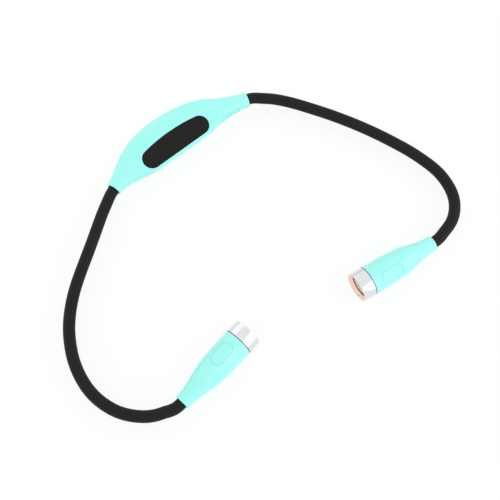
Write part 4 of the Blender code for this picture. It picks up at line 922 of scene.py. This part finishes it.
head_places = {}
for side in ("left", "right"):
    arm_mouth, _, _ = spine(HALF_CHORD if side == "right" else -HALF_CHORD)
    knots = arm_knots(side)
    tip, heading = on_route(arm_mouth, knots, ARM_LENGTH)
    root = Matrix.Translation(arm_mouth) @ Matrix.Rotation(knots[0][1], 4, "Z")
    roll = Matrix.Rotation(math.radians(HEAD_ROLLS[side]), 4, "X")
    head_places[side] = Matrix.Translation(tip) @ Matrix.Rotation(heading, 4, "Z") @ roll

    count = math.ceil((ARM_LENGTH + 2 * RUNOUT) / ROUTE_STEP)
    distances = [-RUNOUT + (ARM_LENGTH + 2 * RUNOUT) * i / count for i in range(count + 1)]
    middle = [on_route(arm_mouth, knots, distance)[0] for distance in distances]
    middle = evened(middle, round(ROUTE_EVENING / ROUTE_STEP), round(RUNOUT / ROUTE_STEP))
    route_length = length_of(middle)
    stretch = route_length / (ARM_LENGTH + 2 * RUNOUT)
    path = path_of(f"{side}_arm_path", middle)
    start = eased([Vector(point) for point in LEAD_START[side]] + middle[:1])
    end = eased([middle[-1]] + [head_places[side] @ Vector(point) for point in LEAD_END])
    lead_path = path_of(f"{side}_lead_path", start[:-1] + middle + end[1:])
    start_length, end_length = length_of(start), length_of(end)

    stations = [share * ARM_LENGTH for share in STATIONS]
    splits = [(a + b) / 2 for a, b in zip(stations, stations[1:])]
    bodies = ["housing", f"{side}_arm_inner", f"{side}_arm_middle", f"{side}_arm_outer", f"{side}_head"]
    sleeve_nodes = (("root", "inner"), ("middle",), ("outer",), ("head",))
    core_nodes = (("root_ferrule", "core_inner"), ("core_middle",), ("core_outer",), ("head_ferrule",))
    ends = zip([None] + splits, splits + [None], stations)
    for number, (low, high, station) in enumerate(ends):
        joint, heading = on_route(arm_mouth, knots, station)
        reach = BEND_REACH * towards(heading)
        bend = {"a": bodies[number], "b": bodies[number + 1], "start": joint - reach, "end": joint + reach}
        low_end = stretch * (RUNOUT + (low or -SLEEVE_INSERT))
        high_end = stretch * (RUNOUT + (high or ARM_LENGTH + SLEEVE_INSERT))
        sleeve = grown(f"{side}_sleeve_{number + 1}", tube, {
            "Path": path, "From": low_end, "To": high_end, "Outer Radius": SLEEVE_RADIUS,
            "Bore Radius": SLEEVE_BORE, "Rings": round((high_end - low_end) / ROUTE_STEP),
            "Sides": SLEEVE_SIDES, "Material": black,
        })
        dress(sleeve, black, TUBE_SHARP_ANGLE)
        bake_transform(sleeve)
        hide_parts(*(f"{side}_sleeve_{node}" for node in sleeve_nodes[number]))

        low_end = stretch * (RUNOUT + (low or -SLEEVE_INSERT - COLLAR_LENGTH))
        high_end = stretch * (RUNOUT + (high or ARM_LENGTH + SLEEVE_INSERT + COLLAR_LENGTH))
        turns = (high_end - low_end) / COIL_PITCH
        coil = grown(f"{side}_coil_{number + 1}", winding, {
            "Path": path, "From": low_end, "To": high_end, "Coil Radius": COIL_RADIUS,
            "Wire Radius": COIL_WIRE, "Pitch": COIL_PITCH, "Points": round(turns * POINTS_PER_TURN),
            "Material": spring,
        })
        coil.data.shade_smooth()
        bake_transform(coil)
        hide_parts(*(f"{side}_{node}" for node in core_nodes[number]))

        low_end = start_length + stretch * (RUNOUT + low) if low else 0
        high_end = start_length + (stretch * (RUNOUT + high) if high else route_length + end_length)
        lead = grown(f"{side}_lead_{number + 1}", tube, {
            "Path": lead_path, "From": low_end, "To": high_end, "Outer Radius": LEAD_RADIUS,
            "Bore Radius": LEAD_RADIUS / 2, "Rings": round((high_end - low_end) / ROUTE_STEP),
            "Sides": LEAD_SIDES, "Material": cable,
        })
        dress(lead, cable, TUBE_SHARP_ANGLE)
        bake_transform(lead)
        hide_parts(f"{side}_arm_lead")
    bpy.data.objects.remove(path)
    bpy.data.objects.remove(lead_path)

    near, far = -SLEEVE_INSERT - GAP - COLLAR_LENGTH, -SLEEVE_INSERT - GAP
    rolled = [near + COLLAR_LENGTH * share for share in (0.25, 0.5, 0.75)]
    collar_profile = [(near, COLLAR_RADIUS)]
    for spot in rolled:
        collar_profile += [
            (spot - COLLAR_ROLL, COLLAR_RADIUS), (spot, COLLAR_RADIUS - COLLAR_ROLL),
            (spot + COLLAR_ROLL, COLLAR_RADIUS),
        ]
    coil_outside = COIL_RADIUS + COIL_WIRE
    collar_profile += [(far, COLLAR_RADIUS), (far, coil_outside), (near, coil_outside)]
    collar_profile = softened(collar_profile, COLLAR_ROLL)
    head_collar_profile = [(-along, radius) for along, radius in collar_profile]
    for name, profile, place, body in (
        ("root", collar_profile, root, "housing"),
        ("head", head_collar_profile, head_places[side], f"{side}_head"),
    ):
        collar = dress(lathe(f"{side}_{name}_collar", profile, place, COLLAR_SIDES), spring)
        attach(collar, body)

# Lamp heads
# A flared turquoise moulding holds the light engine. A push key lies flush in its skin, in a soft groove.
# A polished ring with a clear window closes the front, over a thin black seal.
HEAD_LENGTH, SHELL_LENGTH, HEAD_MOUTH, HEAD_WALL = 0.0585, 0.0495, 0.0052, 0.0014
FLARE_SHARES = (
    (0.00, 0.00), (0.09, 0.03), (0.18, 0.16), (0.31, 0.48), (0.455, 0.80), (0.62, 0.94), (0.80, 0.992),
    (1.00, 1.00),
)
THROAT_SHARES, BORE_SHARE = (0.46, 0.36), 0.52
FRONT_BORE, HEAD_BORE, LEDGE = 0.00845, 0.0074, 0.0455
KEY_LENGTH, KEY_WIDTH, KEY_PLACE, KEY_BOTTOM = 0.0154935, 0.0076, 0.0362033, 0.00635
KEY_PROUD, KEY_JOINT = 0.00015, 0.00002
TAB_REACH, TAB_WIDTH, TAB_HEIGHT = 0.001, 0.004, 0.00045
GROOVE_RADIUS, GROOVE_RAISE = 0.0009, 0.00062
DIMPLE_RADIUS, DIMPLE_WIRE, DIMPLE_RAISE, DIMPLE_SPOTS = 0.0018, 0.00045, 0.00031, 48
SEAL_JOINT, SEAL_THICKNESS, SEAL_SETBACK = 0.00006, 0.0002, 0.0001
RING_BACK, RING_RIM, RING_TAPER, RING_SKIRT = 0.04985, 0.0007, 0.00025, 0.0006
RING_RECESS, RING_LIP = 0.0024, 0.0004
RING_SILVER, RING_BRIGHT = (0.74, 0.74, 0.76, 1), (0.82, 0.82, 0.84, 1)
# Peach painted on the bezel's inner face: a painted reflection of the warm emitter and light cup behind the
# window.
RING_PAINTED_REFLECTION = (0.90, 0.62, 0.54, 1)
WINDOW_THICKNESS, WINDOW_DOME, WINDOW_EDGE = 0.0016, 0.0004, 0.0001
GLOW_RADIUS, GLOW_DOME, GLOW_THICKNESS, GLOW_EDGE = 0.0030, 0.0024, 0.0008, 0.00027
BOARD_THICKNESS, CUP_WALL = 0.0012, 0.0005
CUP_BELLY_SHARE, CUP_MIDDLE_SHARE, CUP_ROWS = 0.68, 0.42, 16
SHELL_ROUNDING, RING_ROUNDING, SEAL_ROUNDING = 0.00025, 0.0003, 0.0001
HEAD_SIDES, HEAD_ROWS = 120, 60
flare = smooth(FLARE_SHARES)


def head_radius(along):
    """The radius of a head at a place along it."""
    return HEAD_MOUTH + (HEAD_RADIUS - HEAD_MOUTH) * flare(along / SHELL_LENGTH)


def swept_ring(name, spots, radius, steps=12):
    """A round bar bent into a closed loop through spots of (point, outward direction)."""
    rings = []
    for before, (spot, out), after in zip(spots[-1:] + spots[:-1], spots, spots[1:] + spots[:1]):
        side = (after[0] - before[0]).cross(out).normalized()
        angles = [2 * math.pi * i / steps for i in range(steps)]
        rings.append([spot + radius * (math.cos(a) * side + math.sin(a) * out) for a in angles])
    return piece_of(name, rings, closed=True)


def on_skin(outline, raise_by):
    """Places an outline on the skin of a head, raised along the direction that the skin faces."""
    spots = []
    for x, y in outline:
        radius = head_radius(x)
        z = math.sqrt(radius**2 - y**2)
        slope = (head_radius(x + GAP) - head_radius(x - GAP)) / (2 * GAP)
        out = Vector((-slope * radius, y, z)).normalized()
        spots.append((Vector((x, y, z)) + raise_by * out, out))
    return spots


def resampled(outline, step=0.0004):
    """A closed outline with its points evenly spread."""
    loop = [Vector(point) for point in outline]
    points = []
    for a, b in zip(loop, loop[1:] + loop[:1]):
        count = max(1, round((b - a).length / step))
        points += [tuple(a.lerp(b, i / count)) for i in range(count)]
    return points


shell_rows = [SHELL_LENGTH * i / HEAD_ROWS for i in range(HEAD_ROWS + 1)]
head_shell = [(0, HEAD_MOUTH - GAP), (GAP, HEAD_MOUTH)]
head_shell += [(along, head_radius(along)) for along in shell_rows[3:]]
insert = SLEEVE_INSERT + GAP / 2
head_shell += [(SHELL_LENGTH, FRONT_BORE), (LEDGE, FRONT_BORE), (LEDGE, HEAD_BORE)]
head_shell += [(SHELL_LENGTH * BORE_SHARE, HEAD_BORE)]
throat_rows = [SHELL_LENGTH * share for share in THROAT_SHARES]
head_shell += [(along, head_radius(along) - HEAD_WALL) for along in throat_rows]
head_shell += [
    (SLEEVE_INSERT + 2 * GAP + COLLAR_LENGTH, COLLAR_RADIUS + GAP), (insert, COLLAR_RADIUS + GAP),
    (insert, SLEEVE_RADIUS + GAP), (0, SLEEVE_RADIUS + GAP),
]
head_shell = softened(head_shell, SHELL_ROUNDING)

board_front = LEDGE + BOARD_THICKNESS + 2 * GAP
skirt_out = FRONT_BORE - GAP
skirt_in = skirt_out - RING_SKIRT
rim_inside = HEAD_RADIUS - RING_TAPER - RING_RIM
window_seat = HEAD_LENGTH - RING_RECESS
ring_profile = softened([
    (board_front, skirt_out), (RING_BACK, skirt_out), (RING_BACK, HEAD_RADIUS),
    (HEAD_LENGTH, HEAD_RADIUS - RING_TAPER), (HEAD_LENGTH, rim_inside),
    (window_seat + RING_LIP, skirt_in - RING_LIP), (window_seat, skirt_in - RING_LIP),
    (window_seat, skirt_in), (board_front, skirt_in),
], RING_ROUNDING)
seal_low = SHELL_LENGTH + SEAL_JOINT
seal_profile = softened([
    (seal_low, FRONT_BORE), (seal_low, HEAD_RADIUS - SEAL_SETBACK),
    (seal_low + SEAL_THICKNESS, HEAD_RADIUS - SEAL_SETBACK), (seal_low + SEAL_THICKNESS, FRONT_BORE),
], SEAL_ROUNDING)
window_front = window_seat - GAP
window_back = window_front - WINDOW_THICKNESS
bore = skirt_in - GAP
clear = bore - RING_LIP
window_profile = [
    (window_back, 0), (window_back, bore - WINDOW_EDGE), (window_back + WINDOW_EDGE, bore),
    (window_front - WINDOW_EDGE, bore), (window_front, bore - WINDOW_EDGE), (window_front, clear),
]
window_profile += [
    (window_front + WINDOW_DOME * (1 - t * t), clear * t) for t in (0.9, 0.75, 0.6, 0.45, 0.3, 0.15, 0)
]
glow_front = board_front + GLOW_THICKNESS
glow_profile = [
    (board_front, 0), (board_front, GLOW_RADIUS), (glow_front - GLOW_EDGE, GLOW_RADIUS),
    (glow_front, GLOW_DOME), (glow_front, 0),
]
cup_front = window_back - GAP
throat = GLOW_RADIUS + GAP
cup_middle = board_front + (cup_front - board_front) * CUP_MIDDLE_SHARE
belly = throat + (bore - throat) * CUP_BELLY_SHARE
cup_curve = smooth(((board_front, throat), (cup_middle, belly - CUP_WALL), (cup_front, bore - CUP_WALL)))
cup_rows = [board_front + (cup_front - board_front) * i / CUP_ROWS for i in range(CUP_ROWS + 1)]
cup_profile = [(along, cup_curve(along) + CUP_WALL) for along in cup_rows]
cup_profile += [(along, cup_curve(along)) for along in reversed(cup_rows)]


def local_place(material):
    """Where a point lies in the piece's own frame, as its "local" attribute says."""
    return Wire(material.node_tree).add("ShaderNodeAttribute", {"attribute_name": "local"}, {}, "Vector")


polished, shader, _ = finish("bezel_metal", (0.78, 0.78, 0.80, 1), 0.12, Metallic=1.0)
local = local_place(polished)
axis, across, up = local.part("X"), local.part("Y"), local.part("Z")
marks = {"W": axis, "Scale": 9000.0, "Detail": 3.0}
turned_marks = axis.add("ShaderNodeTexNoise", {"noise_dimensions": "1D"}, marks)
radius = across.math("SQRT", across * across + up * up)
# Inside the rim and in front of the window seat, the bezel's inner face takes the peach colour: a painted
# reflection of the warm emitter and light cup.
painted_reflection_zone = radius.math("LESS_THAN", radius, rim_inside) * axis.math("GREATER_THAN", axis, window_seat)
painted_reflection_zone.tint(turned_marks.tint(RING_SILVER, RING_BRIGHT), RING_PAINTED_REFLECTION).feed(shader, "Base Color")
(0.12 + 0.1 * turned_marks).feed(shader, "Roughness")
dent(turned_marks, 0.000001, 0.3).feed(shader, "Normal")

mirror = mottled(
    "reflector_metal", (0.95, 0.9, 0.85, 1), 0.12,
    shades=((0.93, 0.8, 0.7, 1), (0.97, 0.93, 0.9, 1), 900.0, 2.0),
    rough=(0.06, 0.14, 1800.0, 2.0), relief=(0.00002, 0.5, 2600.0, 2.0), Metallic=1.0,
)
glass = mottled(
    "clear_lens", (0.97, 0.97, 0.96, 1), 0.03,
    shades=((0.95, 0.95, 0.94, 1), (0.99, 0.99, 0.985, 1), 500.0, 2.0),
    rough=(0.015, 0.04, 900.0, 2.0), relief=(0.00001, 0.4, 700.0, 2.0), Transmission_Weight=1.0, IOR=1.49,
)
phosphor = mottled(
    "led_phosphor", (0.95, 0.62, 0.3, 1), 0.5,
    shades=((0.9, 0.55, 0.25, 1), (1.0, 0.72, 0.42, 1), 4000.0, 3.0),
    rough=(0.4, 0.2, 3000.0, 2.0), relief=(0.00002, 0.6, 6000.0, 2.0),
)

over = HEAD_RADIUS + CUT_OVERRUN
at_key = Matrix.Translation((KEY_PLACE, 0, 0))
half_key = KEY_LENGTH / 2
hole, middle, key_outline = (
    rounded_box(-half_key - grow, half_key + grow, KEY_WIDTH + 2 * grow, KEY_WIDTH / 2 + grow, steps=12)
    for grow in (GAP / 2 + KEY_JOINT, GAP / 2, GAP / 2 - KEY_JOINT)
)
loop = on_skin([(x + KEY_PLACE, y) for x, y in resampled(middle)], GROOVE_RAISE)
circle = [2 * math.pi * i / DIMPLE_SPOTS for i in range(DIMPLE_SPOTS)]
circle = [(KEY_PLACE + DIMPLE_RADIUS * math.cos(a), DIMPLE_RADIUS * math.sin(a)) for a in circle]
moulding = lathe("head_moulding", head_shell, sides=HEAD_SIDES)
shape(moulding, "DIFFERENCE", swept_ring("groove", loop, GROOVE_RADIUS))
shape(moulding, "DIFFERENCE", prism("key_hole", hole, KEY_BOTTOM / 2, over, at_key))
rows = shell_rows[HEAD_ROWS // 2:]
skin = [(rows[0], 0), *((along, head_radius(along) + KEY_PROUD) for along in rows), (rows[-1], 0)]
key = prism("key", key_outline, KEY_BOTTOM, over, at_key)
shape(key, "INTERSECT", lathe("key_skin", skin, sides=HEAD_SIDES))
shape(key, "DIFFERENCE", swept_ring("groove", loop, GROOVE_RADIUS))
shape(key, "DIFFERENCE", swept_ring("dimple", on_skin(circle, DIMPLE_RAISE + KEY_PROUD), DIMPLE_WIRE))
tab_end, tab_side = half_key + TAB_REACH, TAB_WIDTH / 2
tabs = [(-tab_end, -tab_side), (tab_end, -tab_side), (tab_end, tab_side), (-tab_end, tab_side)]
shape(key, "UNION", prism("tabs", tabs, KEY_BOTTOM + GAP / 2, KEY_BOTTOM + TAB_HEIGHT, at_key))

head_parts = (
    (moulding, turquoise, "turquoise_plastic", "head_shell", "head"),
    (key, turquoise, "turquoise_plastic", "button", "button"),
    (lathe("trim_ring", ring_profile, sides=HEAD_SIDES), polished, "bezel_metal", "bezel", "head"),
    (lathe("seal_ring", seal_profile, sides=HEAD_SIDES), rubber, "pad_rubber", "gasket", "head"),
    (lathe("window", window_profile, sides=HEAD_SIDES), glass, "clear_lens", "lens", "head"),
    (lathe("light_cup", cup_profile, sides=HEAD_SIDES), mirror, "reflector_metal", "reflector", "head"),
    (lathe("glow_disc", glow_profile), phosphor, "led_phosphor", "led_emitter", "head"),
)
for part, material, slot, node, body in head_parts:
    dress(part, material)
    layer = part.data.attributes.new("local", "FLOAT_VECTOR", "POINT")
    for spot, vertex in zip(layer.data, part.data.vertices):
        spot.vector = vertex.co
    for side, place in head_places.items():
        mesh = part.data.copy()
        mesh.transform(place)
        piece = bpy.data.objects.new(f"{side}_{part.name}", mesh)
        bpy.context.scene.collection.objects.link(piece)
        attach(piece, f"{side}_{body}")
        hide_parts(f"{side}_{node}")
    bpy.data.objects.remove(part)

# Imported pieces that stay
# The boards, switches, cell, foam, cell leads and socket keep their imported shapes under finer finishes.
# Boards are green or white solder mask with copper below, and the cell is wrapped in foil and amber tape.
MASK_GREEN, TRACK_GREEN, GOLD = (0.015, 0.13, 0.06, 1), (0.04, 0.26, 0.12, 1), (0.75, 0.52, 0.2, 1)
MASK_WHITE, TRACK_WHITE = (0.82, 0.82, 0.8, 1), (0.66, 0.66, 0.63, 1)
TRACK_SPACING, TRACK_WIDTH, PAD_SPACING, PAD_SHARE = 0.0011, 0.00016, 0.0017, 0.24
TAPE_START, TAPE_WIDTH = 0.0095, 0.004
TAPE_AMBER = (0.62, 0.3, 0.03, 1)
SWITCH_TOP, PLATE_REACH = 0.00505, 0.0002
SWITCH_BLACK, SWITCH_GREY = (0.02, 0.02, 0.02, 1), (0.045, 0.045, 0.045, 1)
PLATE_STEEL = (0.62, 0.62, 0.64, 1)
FOIL_DARK, FOIL_LIGHT = (0.45, 0.47, 0.5, 1), (0.68, 0.7, 0.73, 1)
FOAM_LIGHT, FOAM_DARK = (0.28, 0.28, 0.28, 1), (0.1, 0.1, 0.1, 1)
QUARTER_TURN = math.radians(90)
battery_low, battery_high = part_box("battery_cell")
battery_middle = Matrix.Translation((battery_low + battery_high) / 2)
plain = Matrix()


def keep(name, material, place=plain):
    """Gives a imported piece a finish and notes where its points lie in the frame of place."""
    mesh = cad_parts[name].data
    mesh.materials.clear()
    mesh.materials.append(material)
    back = place.inverted()
    layer = mesh.attributes.new("local", "FLOAT_VECTOR", "POINT")
    for spot, vertex in zip(layer.data, mesh.vertices):
        spot.vector = back @ vertex.co


def board_finish(name, mask, track):
    """Solder mask over copper tracks, with bare gilt pads."""
    material, shader, place = finish(name, mask, 0.4, Specular_IOR_Level=0.5)
    local = local_place(material)
    tracks = local.add("ShaderNodeTexBrick", {"offset": 0.37}, {
        "Vector": local, "Scale": 1.0, "Mortar Size": TRACK_WIDTH, "Mortar Smooth": 0.3,
        "Brick Width": 3 * TRACK_SPACING, "Row Height": TRACK_SPACING,
    }, "Fac")
    dots = local.add("ShaderNodeTexVoronoi", {}, {
        "Vector": local, "Scale": 1 / PAD_SPACING, "Randomness": 0.6,
    }, "Distance")
    pads = dots.math("LESS_THAN", dots, PAD_SHARE)
    speckle = noise(place, 3000.0, 3.0)
    pads.tint((tracks * 0.85 + speckle * 0.15).tint(mask, track), GOLD).feed(shader, "Base Color")
    pads.feed(shader, "Metallic")
    (0.32 + 0.2 * speckle).feed(shader, "Roughness")
    dent(tracks + pads + 0.2 * speckle, 0.00003, 0.8).feed(shader, "Normal")
    return material


green = board_finish("green_board", MASK_GREEN, TRACK_GREEN)
white_mask = board_finish("white_board", MASK_WHITE, TRACK_WHITE)
keep("charge_board", green, port_place @ Matrix.Rotation(QUARTER_TURN, 4, "X"))
keep("charge_indicator_led", white_mask)

switch_black, shader, place = finish("black_plastic", (0.03, 0.03, 0.03, 1), 0.5)
height = local_place(switch_black).part("Z")
plate = height.math("COMPARE", height, SWITCH_TOP, PLATE_REACH)
grain = noise(place, 4000.0, 3.0)
plate.tint(grain.tint(SWITCH_BLACK, SWITCH_GREY), PLATE_STEEL).feed(shader, "Base Color")
plate.feed(shader, "Metallic")
(0.3 + 0.3 * grain).feed(shader, "Roughness")
dent(grain, 0.00002, 0.5).feed(shader, "Normal")
for side, place in head_places.items():
    keep(f"{side}_switch_board", green, place)
    keep(f"{side}_led_board", white_mask, place @ Matrix.Rotation(QUARTER_TURN, 4, "Y"))
    keep(f"{side}_tact_switch", switch_black, place)

foil, shader, place = finish("battery_wrap", (0.55, 0.57, 0.6, 1), 0.35, Metallic=0.8)
along = local_place(foil).part("X")
tape = along.math("COMPARE", along, TAPE_START + TAPE_WIDTH / 2, TAPE_WIDTH / 2)
crease = noise(place, 260.0, 5.0, 0.7)
fine = noise(place, 2200.0, 2.0)
tape.tint(crease.tint(FOIL_DARK, FOIL_LIGHT), TAPE_AMBER).feed(shader, "Base Color")
(0.8 - 0.7 * tape).feed(shader, "Metallic")
(0.25 + 0.25 * crease).feed(shader, "Roughness")
dent(crease + 0.2 * fine + 0.3 * tape, 0.00012, 0.8).feed(shader, "Normal")
keep("battery_cell", foil, battery_middle)

foam, shader, place = finish("grey_foam", (0.2, 0.2, 0.2, 1), 0.95, Specular_IOR_Level=0.1)
cells = place.add("ShaderNodeTexVoronoi", {}, {"Vector": place, "Scale": 2600.0}, "Distance")
cells.tint(FOAM_LIGHT, FOAM_DARK).feed(shader, "Base Color")
(0.85 + 0.12 * cells).feed(shader, "Roughness")
dent(cells, 0.0002, 0.9).feed(shader, "Normal")
keep("battery_foam", foam)

red = mottled(
    "red_lead", (0.6, 0.03, 0.02, 1), 0.45,
    shades=((0.5, 0.02, 0.015, 1), (0.68, 0.045, 0.03, 1), 800.0, 2.0),
    rough=LEAD_ROUGH, relief=LEAD_RELIEF,
)
keep("battery_lead_positive", red)
keep("battery_lead_negative", cable)
keep("usb_socket", steel)
